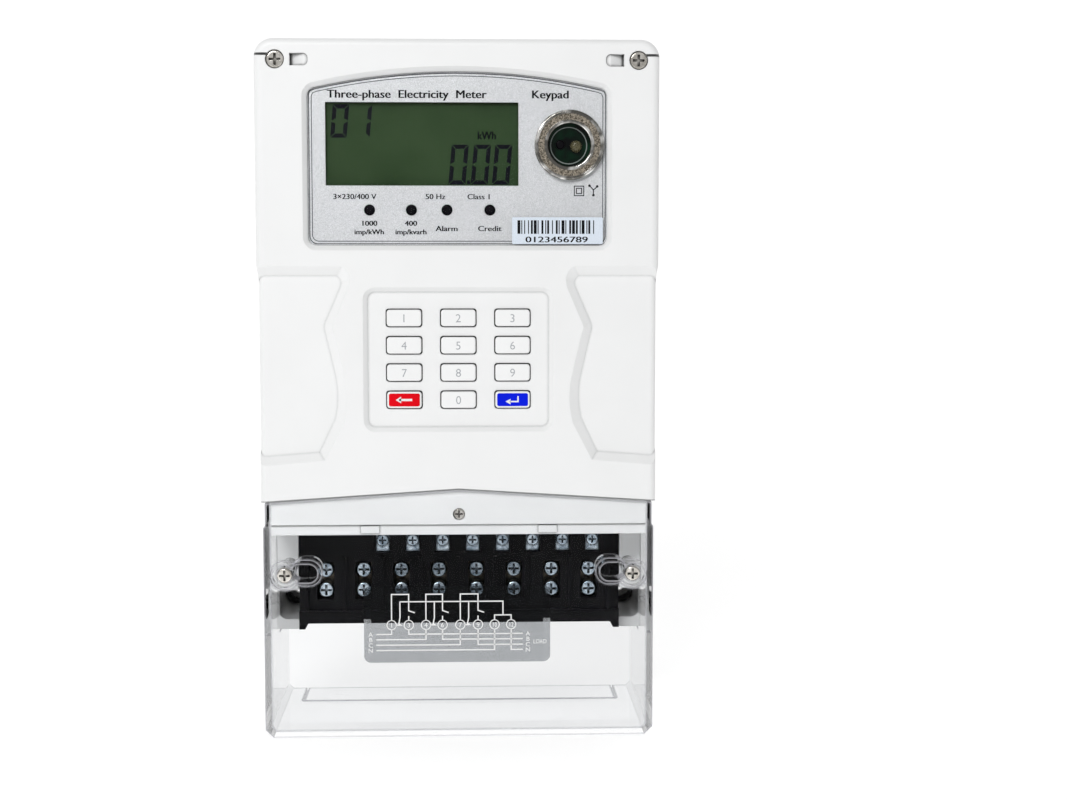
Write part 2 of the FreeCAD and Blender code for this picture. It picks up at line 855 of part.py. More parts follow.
def nameplate():
    """The printed plate behind the lens, cut out for the display, port and indicators."""
    piece = Piece("nameplate")
    plate = piece.drawing(D.plate_level)
    plate.outline(window_outline(0.15))
    piece.pad(plate, D.plate_thick)
    cuts = piece.drawing(D.plate_level + D.plate_thick)
    cuts.rectangle(D.lcd_left, D.lcd_low, D.lcd_right, D.lcd_high)
    cuts.circle(D.port_across, D.port_up, D.port_bore + 1.4)
    for across in indicator_columns().values():
        cuts.circle(across, D.indicator_up, D.indicator_radius + 0.1)
    piece.pocket(cuts, D.plate_thick)


def window_lens():
    """The clear pane over the nameplate, with a hole that the port's ring stands through."""
    piece = Piece("window_lens")
    pane = piece.drawing(D.lens_level)
    pane.outline(window_outline(0.15))
    piece.pad(pane, D.lens_thick)
    hole = piece.drawing(D.lens_level + D.lens_thick)
    hole.circle(D.port_across, D.port_up, D.port_radius + 0.1)
    piece.pocket(hole, D.lens_thick)


def barcode_label():
    piece = Piece("barcode_label")
    label = piece.drawing(D.lens_level + D.lens_thick)
    label.rounded(22.8, 64.4, 61.2, 75.7, 0.6)
    piece.pad(label, 0.15)


def display():
    """The liquid crystal panel, the black frame round it and the light guide behind."""
    left, right = D.lcd_left - 2.5, D.lcd_right + 2.5
    low, high = D.lcd_low - 2.4, D.lcd_high + 2.3
    panel_front = D.lcd_level + 2.6
    panel = Piece("lcd_panel")
    glass = panel.drawing(D.lcd_level)
    glass.rectangle(left, low, right, high)
    panel.pad(glass, 2.6)
    guide = Piece("lcd_backlight")
    sheet_of_light = guide.drawing(D.board_level)
    sheet_of_light.rectangle(left, low, right, high)
    guide.pad(sheet_of_light, D.lcd_level - D.board_level)
    frame = Piece("lcd_frame")
    outer = frame.drawing(D.board_level)
    outer.rounded(left - 2.0, low - 2.0, right + 2.0, high + 1.9, 1.0)
    frame.pad(outer, D.plate_level - D.board_level)
    well = frame.drawing(D.board_level)
    well.rectangle(left, low, right, high)
    frame.pocket(well, panel_front - D.board_level, forward=True)
    view = frame.drawing(D.plate_level)
    view.rectangle(D.lcd_left, D.lcd_low, D.lcd_right, D.lcd_high)
    frame.pocket(view, D.plate_level - panel_front)


def optical_port():
    """A nickelled steel ring that a magnetic reading head grips, with its window and two diodes."""
    across, up = D.port_across, D.port_up
    face = D.plate_level + D.plate_thick
    ring = Piece("optical_port_ring")
    flange = ring.drawing(face)
    flange.circle(across, up, D.port_radius)
    flange.circle(across, up, D.port_bore)
    ring.pad(flange, 2.6)
    sleeve = ring.drawing(71.5)
    sleeve.circle(across, up, D.port_bore + 1.3)
    sleeve.circle(across, up, D.port_bore)
    ring.pad(sleeve, face - 71.5)
    front = (face + 2.6).value
    ring.fillet(*slab(front), 0.9)
    groove = ring.drawing(face + 2.6)
    groove.circle(across, up, D.port_radius - 1.5)
    groove.circle(across, up, D.port_bore + 1.6)
    ring.pocket(groove, 0.4)
    window = Piece("optical_port_lens")
    disc = window.drawing(71.5)
    disc.circle(across, up, D.port_bore)
    window.pad(disc, 1.5)
    emitter = Piece("optical_emitter")
    bulb = emitter.drawing(73.0)
    bulb.circle(across + 3.1, up - 0.4, 2.5)
    emitter.pad(bulb, 3.0)
    emitter.fillet(*slab(76.0), 1.9)
    receiver = Piece("optical_receiver")
    eye = receiver.drawing(73.0)
    eye.circle(across - 3.6, up + 0.4, 2.0)
    receiver.pad(eye, 1.2)
    receiver.fillet(*slab(74.2), 0.8)


def indicators():
    """The four lamps under the display."""
    for name, across in indicator_columns().items():
        piece = Piece(f"led_{name}")
        lamp = piece.drawing(D.board_level)
        lamp.circle(across, D.indicator_up, D.indicator_radius)
        piece.pad(lamp, D.plate_level + D.plate_thick - D.board_level)
        piece.fillet(*slab((D.plate_level + D.plate_thick).value), 1.0)


# ---------------------------------------------------------------- keypad


def key(name, across, up):
    """A key cap with a flange that keeps it in the case and a stem that presses the mat."""
    piece = Piece(f"key_{name}")
    half_wide, half_tall = D.key_wide / 2, D.key_tall / 2
    flange_front = D.front_inner - 0.05
    cap = piece.drawing(flange_front)
    cap.rounded(across - half_wide, up - half_tall, across + half_wide, up + half_tall, D.key_round)
    piece.pad(cap, D.key_front - flange_front)
    piece.fillet(*slab(D.key_front.value), 0.6)
    flange = piece.drawing(flange_front - 1.0)
    half_wide, half_tall = half_wide + 1.1, half_tall + 1.1
    flange.rounded(across - half_wide, up - half_tall, across + half_wide, up + half_tall, D.key_round)
    piece.pad(flange, 1.0)
    stem = piece.drawing(flange_front - 1.0)
    stem.circle(across, up, 2.0)
    piece.pad(stem, flange_front - 1.0 - 72.05, backward=True)


def keypad_mat():
    """The rubber sheet behind the keys, with a raised pad under each stem."""
    piece = Piece("keypad_mat")
    mat = piece.drawing(D.board_level)
    mat.rounded(-38.0, -12.0, 38.0, 43.0, 2.0)
    piece.pad(mat, 0.8)
    domes = piece.drawing(D.board_level + 0.8)
    for across, up in key_places().values():
        domes.circle(across, up, 3.2)
    piece.pad(domes, 0.7)


# ---------------------------------------------------------------- boards and what is on them


def circuit_board(label, level, half_wide, low, high, holes):
    piece = Piece(label)
    board = piece.drawing(level)
    board.rounded(-half_wide, low, half_wide, high, 2.0)
    for across, up in holes:
        board.circle(across, up, 1.6)
    piece.pad(board, D.board_thick)


def boards():
    back = D.board_level - D.board_thick
    circuit_board("display_board", back, 74.5, -18.0, 132.0, display_posts())
    screws("display_board_screws", display_posts()[0], back, (2.4, 1.6), (1.15, 6.0), backward=True,
           across=(D.display_post_across * 2, 2), up=(D.display_post_high - D.display_post_low, 2))
    circuit_board("main_board", D.main_board_level, 74.0, -37.0, 130.0, board_posts())
    front = D.main_board_level + D.board_thick
    screws("main_board_screws", board_posts()[0], front, (2.4, 1.6), (1.15, 7.0),
           across=(D.board_post_across * 2, 2), up=(D.board_post_high - D.board_post_low, 2))
    cable = Piece("board_cable")
    ribbon = cable.drawing(-55.0, "YZ_Plane")
    start, end, middle = -front, -back, -(front + back) / 2
    ribbon.outline([(start, 10.0), (start, 11.2), (middle, 16.2), (end, 11.2), (end, 10.0), (middle, 15.0)])
    cable.pad(ribbon, 25.0)


def relays():
    """One latching relay per phase, between its incoming and outgoing bars."""
    front = D.main_board_level + D.board_thick
    for index, phase in enumerate("abc"):
        piece = Piece(f"relay_phase_{phase}")
        middle = MAIN_COLUMNS[2 * index] + D.main_pitch / 2
        half, low, high = D.relay_half, D.bar_high, D.bar_high + D.relay_tall
        case = piece.drawing(front)
        case.rounded(middle - half, low, middle + half, high, 1.0)
        piece.pad(case, D.relay_deep)
        half, low, high = half - 2.0, low + 2.0, high - 2.0
        lid = piece.drawing(front + D.relay_deep)
        lid.rounded(middle - half, low, middle + half, high, 1.0)
        piece.pad(lid, 0.8)


def current_transformers():
    """A ring core round one bar of each phase; the third one is on the far bar, clear of the screw post."""
    for phase, column in zip("abc", (0, 2, 5)):
        piece = Piece(f"current_transformer_{phase}")
        middle = MAIN_COLUMNS[column]
        depth = -(D.bar_back + D.bar_thick / 2)
        ring = piece.drawing(D.coil_low, "XY_Plane")
        ring.circle(middle, depth, D.coil_outer)
        ring.circle(middle, depth, D.coil_bore)
        piece.pad(ring, D.coil_tall)
        for height in (D.coil_low, D.coil_low + D.coil_tall):
            piece.fillet((-FAR, -FAR, height), (FAR, FAR, height), 1.5)


def board_parts():
    """The supply's transformer, the clock battery and the buzzer, on the main board."""
    front = D.main_board_level + D.board_thick
    transformer = Piece("power_transformer")
    core = transformer.drawing(front + 4.0)
    core.rectangle(-50.0, 70.0, -14.0, 101.0)
    transformer.pad(core, 14.0)
    bobbin = transformer.drawing(front)
    bobbin.rounded(-42.0, 66.0, -22.0, 105.0, 3.0)
    transformer.pad(bobbin, 24.0)
    battery = Piece("backup_battery")
    cell = battery.drawing(20.0, "YZ_Plane")
    cell.circle(-(front + 7.3), 45.0, 7.3)
    battery.pad(cell, 25.4)
    tip = battery.drawing(45.4, "YZ_Plane")
    tip.circle(-(front + 7.3), 45.0, 2.5)
    battery.pad(tip, 1.2)
    buzzer = Piece("buzzer")
    can = buzzer.drawing(front)
    can.circle(50.0, 98.0, 6.0)
    buzzer.pad(can, 8.5)
    mouth = buzzer.drawing(front + 8.5)
    mouth.circle(50.0, 98.0, 1.0)
    buzzer.pocket(mouth, 3.0)


def busbars():
    """Copper bars from the cages to the relays, and the link between the two neutral terminals."""
    bars = Piece("phase_busbars")
    cross = bars.drawing(-92.0, "XY_Plane")
    near, far = -(D.bar_back + D.bar_thick), -D.bar_back
    cross.rectangle(D.main_first - D.bar_half, near, D.main_first + D.bar_half, far)
    bars.pad(cross, D.bar_high + 92.0)
    bars.repeat([], (D.main_pitch, 6))
    link = Piece("neutral_link")
    shape = link.drawing(D.bar_back)
    left, right = MAIN_COLUMNS[6], MAIN_COLUMNS[7]
    half = D.bar_half
    shape.outline([
        (left - half, -92.0), (left + half, -92.0), (left + half, -52.0), (right - half, -52.0),
        (right - half, -92.0), (right + half, -92.0), (right + half, -44.0), (left - half, -44.0),
    ])
    link.pad(shape, D.bar_thick)


# ---------------------------------------------------------------- terminals


def terminal_block():
    """The black moulded block that holds the main cages and the auxiliary clamps."""
    piece = Piece("terminal_block")
    body = piece.drawing(D.skin + 0.1)
    body.rectangle(-D.block_half, D.block_low, D.block_half, D.block_high)
    piece.pad(body, D.block_front - D.skin - 0.1)
    add_ears(piece)
    add_block_front(piece)
    cut_main_terminals(piece)
    cut_auxiliary_terminals(piece)


def add_ears(piece):
    """Thin ears that lie on the base round the lower wall screws."""
    ears = piece.drawing(D.skin + 0.1)
    holes = piece.drawing(D.skin + 0.1 + D.ear_thick)
    for side in (-1, 1):
        left, right = ordered((D.block_half - 6.0) * side, D.ear_outer * side)
        ears.rounded(left, D.rim_low + 0.3, right, D.pillar_low - 0.3, D.pocket_round)
        holes.circle(D.fixing_across * side, D.fixing_up, D.ear_hole)
    piece.pad(ears, D.ear_thick)
    piece.pocket(holes, D.ear_thick)


def add_block_front(piece):
    """Ribs between the terminals, the lower lip and the two end legs."""
    rib = piece.drawing(D.block_front)
    middle = D.main_first - D.main_pitch / 2
    rib.rectangle(middle - 0.8, D.lip_high, middle + 0.8, D.cage_high - 0.5)
    first = piece.pad(rib, 2.0)
    piece.repeat([first], (D.main_pitch, MAIN_COUNT + 1))
    lip = piece.drawing(D.block_front)
    lip.rectangle(-D.block_half, D.block_low, D.block_half, D.lip_high)
    piece.pad(lip, D.lip_deep)
    legs = piece.drawing(D.seam_level + 1.0)
    outer, inner, low = D.block_half, D.block_half - 4.0, D.block_low - 2.6
    half = [(inner, D.block_low + 1.0), (inner, D.block_low), (inner + 1.4, low), (outer, low),
            (outer, D.block_low + 1.0)]
    legs.outline(half)
    legs.outline(mirrored(half))
    piece.pad(legs, D.block_front + D.lip_deep - D.seam_level - 1.0)


def cut_main_terminals(piece):
    """For each main terminal: a screwdriver slot, a seat for the cage, a wire way and a bar way."""
    column = D.main_first
    slot = piece.drawing(D.block_front)
    half, reach = D.main_slot_half, D.main_head + 0.4
    slot.rectangle(column - half, D.main_lower - reach, column + half, D.main_upper + reach)
    seat = piece.drawing(D.cage_front)
    seat.rectangle(column - D.cage_half, D.cage_low, column + D.cage_half, D.cage_high)
    wire = piece.drawing(D.cage_low + 0.1, "XY_Plane")
    wire.circle(column, -D.wire_level, D.wire_radius)
    way = piece.drawing(D.block_high, "XY_Plane")
    way.rectangle(column - D.bar_half - 0.1, -(D.bar_back + D.bar_thick + 0.1),
                  column + D.bar_half + 0.1, -(D.bar_back - 0.1))
    cuts = [
        piece.pocket(slot, D.block_front - D.cage_front + 1.0),
        piece.pocket(seat, D.cage_front - D.cage_back),
        piece.pocket(wire, D.cage_low - D.block_low + 0.1),
        piece.pocket(way, D.block_high - D.cage_high),
    ]
    piece.repeat(cuts, (D.main_pitch, MAIN_COUNT))


def cut_auxiliary_terminals(piece):
    """For each auxiliary terminal: a seat for its clamp plate and a screw hole."""
    seat = piece.drawing(D.block_front)
    half = D.aux_seat_half
    seat.rectangle(D.aux_first - half, D.aux_seat_low, D.aux_first + half, D.aux_seat_high)
    hole = piece.drawing(D.block_front)
    hole.circle(D.aux_first, D.aux_up, 1.6)
    cuts = [piece.pocket(seat, D.aux_seat_deep), piece.pocket(hole, 11.0)]
    piece.repeat(cuts, (D.aux_pitch, AUX_COUNT))


def main_terminal_cages():
    """Brass box clamps: the wire goes up through the box and two screws press on it."""
    piece = Piece("main_terminal_cages")
    column = D.main_first
    half = D.cage_half - 0.02
    box = piece.drawing(D.cage_back + 0.02)
    box.rectangle(column - half, D.cage_low + 0.02, column + half, D.cage_high - 0.02)
    piece.pad(box, D.cage_front - D.cage_back - 0.04)
    room = piece.drawing(D.cage_high + 1.0, "XY_Plane")
    room.rectangle(column - 4.6, -(D.cage_front - 2.5), column + 4.6, -(D.cage_back + 2.5))
    piece.pocket(room, D.cage_high - D.cage_low + 2.0)
    holes = piece.drawing(D.cage_front)
    for up in (D.main_upper, D.main_lower):
        holes.circle(column, up, 2.5)
    piece.pocket(holes, 4.0)
    piece.repeat([], (D.main_pitch, MAIN_COUNT))


def terminal_screws():
    screws("main_terminal_screws", (D.main_first, D.main_lower), D.main_head_level,
           (D.main_head, D.main_head_thick), (2.45, D.main_shank_long),
           across=(D.main_pitch, MAIN_COUNT), up=(D.main_upper - D.main_lower, 2))
    screws("aux_terminal_screws", (D.aux_first, D.aux_up), D.block_front - 1.8, (D.aux_head, 2.0),
           (1.5, 7.0), across=(D.aux_pitch, AUX_COUNT))
    plates = Piece("aux_terminal_plates")
    clamp = plates.drawing(D.block_front - D.aux_seat_deep)
    half = D.aux_seat_half - 0.4
    clamp.rectangle(D.aux_first - half, D.aux_seat_low + 0.4, D.aux_first + half, D.aux_seat_high - 0.4)
    clamp.circle(D.aux_first, D.aux_up, 1.55)
    plates.pad(clamp, 2.2)
    plates.repeat([], (D.aux_pitch, AUX_COUNT))


# ---------------------------------------------------------------- terminal cover


def cover_front_outline():
    """Half of the cover's outline, on the right, from the point of the chevron down."""
    return [
        (D.cover_strip / 2, D.chevron_side - D.cover_gap),
        (D.cover_strip / 2, D.rail_high),
        (D.cover_wide / 2, D.rail_high - 0.8),
        (D.cover_wide / 2, D.cover_low + D.cover_chamfer),
        (D.cover_wide / 2 - D.cover_chamfer, D.cover_low),
    ]


def terminal_cover():
    """The clear cover: a chevron-topped front, side walls and a deep wiring chamber below the case."""
    piece = Piece("terminal_cover")
    body = piece.drawing(D.cover_rear)
    half = cover_front_outline()
    body.outline(mirrored(half) + [(0, D.chevron_mid - D.cover_gap)] + half)
    piece.pad(body, D.cover_front - D.cover_rear)
    chamber_walls(piece)
    hollow = piece.drawing(0)
    inner = D.cover_inner / 2
    floor = D.cover_low + D.cover_skin
    hollow.outline([(-inner + 2.0, floor), (inner - 2.0, floor), (inner, floor + 2.0), (inner, 0), (-inner, 0),
                    (-inner, floor + 2.0)])
    piece.pocket(hollow, D.cover_front - D.cover_skin, forward=True)
    groove_knock_out(piece)
    add_screw_wells(piece)


def chamber_walls(piece):
    """Below the rear case the cover's walls run back to the wall."""
    walls = piece.drawing(1.0)
    half = [(D.cover_wide / 2, D.rear_low - 1.0)] + cover_front_outline()[3:]
    walls.outline(mirrored(half) + half)
    piece.pad(walls, D.cover_rear - 1.0)


def groove_knock_out(piece):
    """A thin line round the part of the bottom wall that breaks out for the cables."""
    groove = piece.drawing(D.cover_low + D.cover_skin, "XY_Plane")
    half_groove = 0.4
    front = -D.knock_out_front
    for side in (-1, 1):
        middle = D.knock_out_half * side
        groove.rectangle(middle - half_groove, front - half_groove, middle + half_groove, -1.0)
    inside = D.knock_out_half - half_groove
    groove.rectangle(-inside, front - half_groove, inside, front + half_groove)
    piece.pocket(groove, D.cover_skin - 1.0)


def add_screw_wells(piece):
    """A well for each cover screw and its seal, with a tube that guides the screw."""
    wells = piece.drawing(D.cover_front)
    lobes = piece.drawing(D.cover_front)
    tubes = piece.drawing(D.screw_floor - 1.6)
    well_rooms = piece.drawing(D.cover_front)
    lobe_rooms = piece.drawing(D.cover_front)
    holes = piece.drawing(D.screw_floor)
    lobe_middle = D.screw_up + 1.2
    for side in (-1, 1):
        across = D.screw_across * side
        wells.circle(across, D.screw_up, D.well_outer)
        well_rooms.circle(across, D.screw_up, D.well_inner)
        tubes.circle(across, D.screw_up, D.tube_radius)
        holes.circle(across, D.screw_up, D.screw_shank + D.screw_slack)
        for drawing, reach in ((lobes, 0.0), (lobe_rooms, 1.5)):
            left, right = ordered((D.lobe_tip + reach) * side, (D.screw_across - 2.7) * side)
            half_tall = D.lobe_half - reach
            drawing.rounded(left, lobe_middle - half_tall, right, lobe_middle + half_tall, half_tall - 0.1)
    piece.pad(lobes, D.cover_front - 64.5, backward=True)
    piece.pad(wells, D.cover_front - D.screw_floor + 1.6, backward=True)
    piece.pad(tubes, D.screw_floor - 1.6 - D.pillar_front - 0.4, backward=True)
    piece.pocket(well_rooms, D.cover_front - D.screw_floor)
    piece.pocket(lobe_rooms, D.cover_front - 66.0)
    piece.pocket(holes, D.screw_floor - D.pillar_front)


def wiring_label():
    """The printed wiring diagram's plate on the cover."""
    piece = Piece("wiring_label")
    label = piece.drawing(D.cover_front)
    label.rounded(D.diagram_left, D.diagram_low, D.diagram_right, D.diagram_high, 3.0)
    piece.pad(label, 0.4)


# ---------------------------------------------------------------- build, check and write


def build():
    rear_case()
    front_case()
    hanger_plate()
    case_screws()
    nameplate()
    window_lens()
    barcode_label()
    display()
    optical_port()
    indicators()
    for name, (across, up) in key_places().items():
        key(name, across, up)
    keypad_mat()
    boards()
    relays()
    current_transformers()
    board_parts()
    busbars()
    terminal_block()
    main_terminal_cages()
    terminal_screws()
    terminal_cover()
    wiring_label()
    cover_screws()
    cover_screw_inserts()
    document.recompute()


def check():
    """Stops if any object failed to compute or any piece has no sound shape."""
    for item in document.Objects:
        if "Invalid" in item.State or "Error" in item.State:
            raise RuntimeError(f"{item.Name} failed: {item.State}")
    for body in pieces:
        if body.Shape.isNull() or not body.Shape.isValid():
            raise RuntimeError(f"{body.Label} has no valid shape")


def write():
    os.makedirs("parts", exist_ok=True)
    for body in pieces:
        body.Shape.exportStep(f"parts/{body.Label}.step")
        print(f"{body.Label}: {len(body.Shape.Solids)} solids, {body.Shape.Volume:.0f} mm3")


build()
check()
write()
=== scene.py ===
import math

import bmesh
import bpy
from mathutils import Matrix, Vector


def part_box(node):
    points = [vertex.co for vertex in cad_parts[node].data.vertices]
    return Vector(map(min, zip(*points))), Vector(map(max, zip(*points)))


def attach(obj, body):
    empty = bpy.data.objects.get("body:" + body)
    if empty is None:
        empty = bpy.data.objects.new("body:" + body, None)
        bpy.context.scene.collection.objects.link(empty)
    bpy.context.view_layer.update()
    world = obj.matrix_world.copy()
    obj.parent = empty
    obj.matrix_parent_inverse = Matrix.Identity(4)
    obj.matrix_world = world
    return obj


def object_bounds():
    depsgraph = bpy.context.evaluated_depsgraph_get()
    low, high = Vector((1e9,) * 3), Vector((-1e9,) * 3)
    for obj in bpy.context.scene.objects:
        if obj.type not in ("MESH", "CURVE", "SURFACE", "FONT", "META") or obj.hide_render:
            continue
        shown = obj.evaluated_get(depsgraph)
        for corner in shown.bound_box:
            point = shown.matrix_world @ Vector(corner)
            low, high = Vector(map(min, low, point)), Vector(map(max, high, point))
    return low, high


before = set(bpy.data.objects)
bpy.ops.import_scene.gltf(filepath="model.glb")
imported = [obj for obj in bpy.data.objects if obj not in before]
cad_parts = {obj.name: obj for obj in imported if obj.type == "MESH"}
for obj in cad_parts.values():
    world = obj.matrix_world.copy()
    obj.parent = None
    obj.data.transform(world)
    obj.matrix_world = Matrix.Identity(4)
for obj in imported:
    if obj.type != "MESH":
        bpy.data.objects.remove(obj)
cad_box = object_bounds()

# Lengths are in millimetres wherever a name or a tuple gives a place; MM turns them into metres.
# A "level" is a distance in front of the wall, as in the CAD model, so a level of 77 is at y = -0.077.
MM = 0.001
INK = 0.03  # thickness of a printed layer
PROUD = 0.002  # how far the diagram's ink stands out of its plaque


def box_mm(node):
    """A CAD node's left, right, low, high, back level and front level in millimetres."""
    low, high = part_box(node)
    return (low.x / MM, high.x / MM, low.z / MM, high.z / MM, -high.y / MM, -low.y / MM)


# ---------------------------------------------------------------- finishes


LONG_PATH = 4.5  # light that has bounced more often than this goes straight through clear plastic
EDGE_REACH = 1.2  # how wide the clear cover's edges are that are painted a milky grey for light gathered in them, less than its wall's thickness
OCCLUSION_SAMPLES = 6
# Sockets of a colour mix node, which share their names with those for other kinds of value.
MIX_FIRST, MIX_SECOND, MIX_RESULT = 6, 7, 2


class Finish:
    """A Principled material whose colour, roughness and relief can come from patterns."""

    def __init__(self, name, colour, roughness, **values):
        self.material = bpy.data.materials.new(name)
        self.material.use_nodes = True
        self.material.diffuse_color = (*colour, 1.0)
        self.tree = self.material.node_tree
        self.surface = self.tree.nodes["Principled BSDF"]
        self.output = self.tree.nodes["Material Output"]
        self.place = self.add("ShaderNodeTexCoord").outputs["Object"]
        self.set(self.surface, {"Base Color": (*colour, 1.0), "Roughness": roughness})
        titles = {name: name.replace("_", " ").title().replace("Ior", "IOR") for name in values}
        self.set(self.surface, {titles[name]: value for name, value in values.items()})

    def set(self, node, values):
        """Gives a node's inputs, by name or by place, numbers or links to another node's output."""
        for name, value in values.items():
            if isinstance(value, bpy.types.NodeSocket):
                self.tree.links.new(value, node.inputs[name])
            else:
                node.inputs[name].default_value = value

    def add(self, kind, **values):
        node = self.tree.nodes.new(kind)
        self.set(node, {name.replace("_", " "): value for name, value in values.items()})
        return node

    def calculate(self, operation, *values):
        """One sum or comparison of values, each a number or another node's output."""
        node = self.add("ShaderNodeMath")
        node.operation = operation
        self.set(node, dict(enumerate(values)))
        return node.outputs["Value"]

    def spread(self, value, start, end, low=0.0, high=1.0):
        """A value that goes from low to high as another goes from start to end."""
        limits = {"From_Min": start, "From_Max": end, "To_Min": low, "To_Max": high}
        return self.add("ShaderNodeMapRange", Value=value, **limits).outputs["Result"]

    def mix_colours(self, share, first, second):
        node = self.add("ShaderNodeMix", Factor=share)
        node.data_type = "RGBA"
        self.set(node, {MIX_FIRST: first, MIX_SECOND: second})
        return node.outputs[MIX_RESULT]

    def noise(self, size, detail=2.0, stretch=(1.0, 1.0, 1.0)):
        """A cloudy pattern whose blobs are about size mm across; stretch makes it longer along an axis."""
        mapping = self.add("ShaderNodeMapping", Vector=self.place)
        mapping.inputs["Scale"].default_value = [1.0 / share for share in stretch]
        return self.add(
            "ShaderNodeTexNoise", Vector=mapping.outputs["Vector"], Scale=1.0 / (size * MM), Detail=detail
        ).outputs["Fac"]

    def grains(self, size):
        """Small cells of random brightness, about size mm across."""
        cells = self.add("ShaderNodeTexVoronoi", Vector=self.place, Scale=1.0 / (size * MM))
        return self.add("ShaderNodeRGBToBW", Color=cells.outputs["Color"]).outputs["Val"]

    def ramp(self, factor, first, last, start=0.3, end=0.7):
        """A colour that goes from first to last as the factor goes from start to end."""
        ramp = self.add("ShaderNodeValToRGB", Fac=factor)
        for stop, place, colour in zip(ramp.color_ramp.elements, (start, end), (first, last)):
            stop.position = place
            stop.color = (*colour, 1.0)
        return ramp.outputs["Color"]

    def colour(self, factor, first, last, start=0.3, end=0.7):
        self.set(self.surface, {"Base Color": self.ramp(factor, first, last, start, end)})
        return self

    def roughness(self, factor, least, most):
        self.set(self.surface, {"Roughness": self.spread(factor, 0.0, 1.0, least, most)})
        return self

    def relief(self, factor, depth, strength=1.0, round_edges=0.0):
        """Raises and sinks the surface by a pattern, and rounds sharp edges by a radius in mm."""
        bump = self.add("ShaderNodeBump", Height=factor, Distance=depth * MM, Strength=strength)
        if round_edges:
            bevel = self.add("ShaderNodeBevel", Radius=round_edges * MM)
            bevel.samples = 4
            self.set(bump, {"Normal": bevel.outputs["Normal"]})
        self.set(self.surface, {"Normal": bump.outputs["Normal"]})
        return self

    def paint_gap_shade(self, reach, depth=1.0, alone=False):
        """Paints shade into the colour where nearby surfaces close in, in gaps narrower than about reach mm,
        or only in the piece's own if alone.
        """
        colour = self.surface.inputs["Base Color"].links[0].from_socket
        near = self.add("ShaderNodeAmbientOcclusion", Color=colour, Distance=reach * MM)
        near.samples = OCCLUSION_SAMPLES
        near.only_local = alone
        self.set(self.surface, {"Base Color": near.outputs["Color"]})
        return self.darken(self.calculate("POWER", near.outputs["AO"], depth))

    def darken(self, share):
        """Multiplies the colour by a pattern's value."""
        colour = self.surface.inputs["Base Color"].links[0].from_socket
        darker = self.add("ShaderNodeVectorMath")
        darker.operation = "SCALE"
        self.set(darker, {"Vector": colour, "Scale": share})
        self.set(self.surface, {"Base Color": darker.outputs["Vector"]})
        return self

    def distance(self, across, up, squeeze=1.0):
        """How far a point is from a line along the depth, in metres; squeeze shortens the way across."""
        flat = self.add("ShaderNodeVectorMath")
        flat.operation = "MULTIPLY_ADD"
        offset = (-across * squeeze * MM, 0.0, -up * MM)
        self.set(flat, {0: self.place, 1: (squeeze, 0.0, 1.0), 2: offset})
        length = self.add("ShaderNodeVectorMath", Vector=flat.outputs["Vector"])
        length.operation = "LENGTH"
        return length.outputs["Value"]

    def blend(self, share, first, second):
        """A mix of two shaders' outputs."""
        mix = self.add("ShaderNodeMixShader")
        self.set(mix, {0: share, 1: first, 2: second})
        return mix.outputs["Shader"]

    def pass_lamps(self, tint, rim=0.0):
        """Lets lamp light and long-bounced light straight through a clear surface, where glass would stop it.

        rim is how strongly its edges and thin walls are painted a milky grey, standing in for light that ran
        along inside and gathers there.
        """
        surface = self.surface.outputs["BSDF"]
        if rim:
            # painted light: a grey diffuse at the edges and thin walls stands in for light gathered inside
            # the plastic
            inside = self.add("ShaderNodeAmbientOcclusion", Distance=EDGE_REACH * MM)
            inside.inside = True
            inside.only_local = True
            inside.samples = OCCLUSION_SAMPLES
            edge = self.spread(inside.outputs["AO"], 0.95, 0.5, high=rim)
            painted_edge_light = self.add("ShaderNodeBsdfDiffuse", Color=(0.48, 0.48, 0.51, 1.0))
            surface = self.blend(edge, surface, painted_edge_light.outputs["BSDF"])
        path = self.add("ShaderNodeLightPath")
        deep = self.calculate("GREATER_THAN", path.outputs["Ray Depth"], LONG_PATH)
        straight = self.calculate("MAXIMUM", path.outputs["Is Shadow Ray"], deep)
        clear = self.add("ShaderNodeBsdfTransparent", Color=(*tint, 1.0))
        self.set(self.output, {"Surface": self.blend(straight, surface, clear.outputs["BSDF"])})
        return self


def moulded(name, colour, darker, roughness, grain=0.35, depth=0.02, edges=0.35, gloss=0.5):
    """Moulded plastic: a fine spark-eroded grain, a faint drift in colour and softened edges."""
    finish = Finish(name, colour, roughness, specular_ior_level=gloss)
    finish.colour(finish.noise(26.0), darker, colour)
    finish.roughness(finish.noise(grain * 2), roughness - 0.06, roughness + 0.06)
    return finish.relief(finish.noise(grain), depth, 0.5, edges)


def metal(name, colour, darker, roughness, grain, depth, edges=0.15, stretch=(1.0, 1.0, 1.0), grime_and_shade=0.0,
          alone=False):
    """Plated or bare metal: cloudy tone, uneven gloss, fine marks; a gap width, if given, paints shade with a
    little oxide into narrower gaps.
    """
    finish = Finish(name, colour, roughness, metallic=1.0)
    finish.colour(finish.noise(grain * 6, 4.0), darker, colour)
    # painted shade in narrow gaps and recesses, with a little oxide darkening there as well
    if grime_and_shade:
        finish.paint_gap_shade(grime_and_shade, 1.6, alone)
    finish.roughness(finish.noise(grain * 3, 3.0), roughness * 0.6, roughness * 1.5)
    return finish.relief(finish.noise(grain, 3.0, stretch), depth, 0.6, edges)


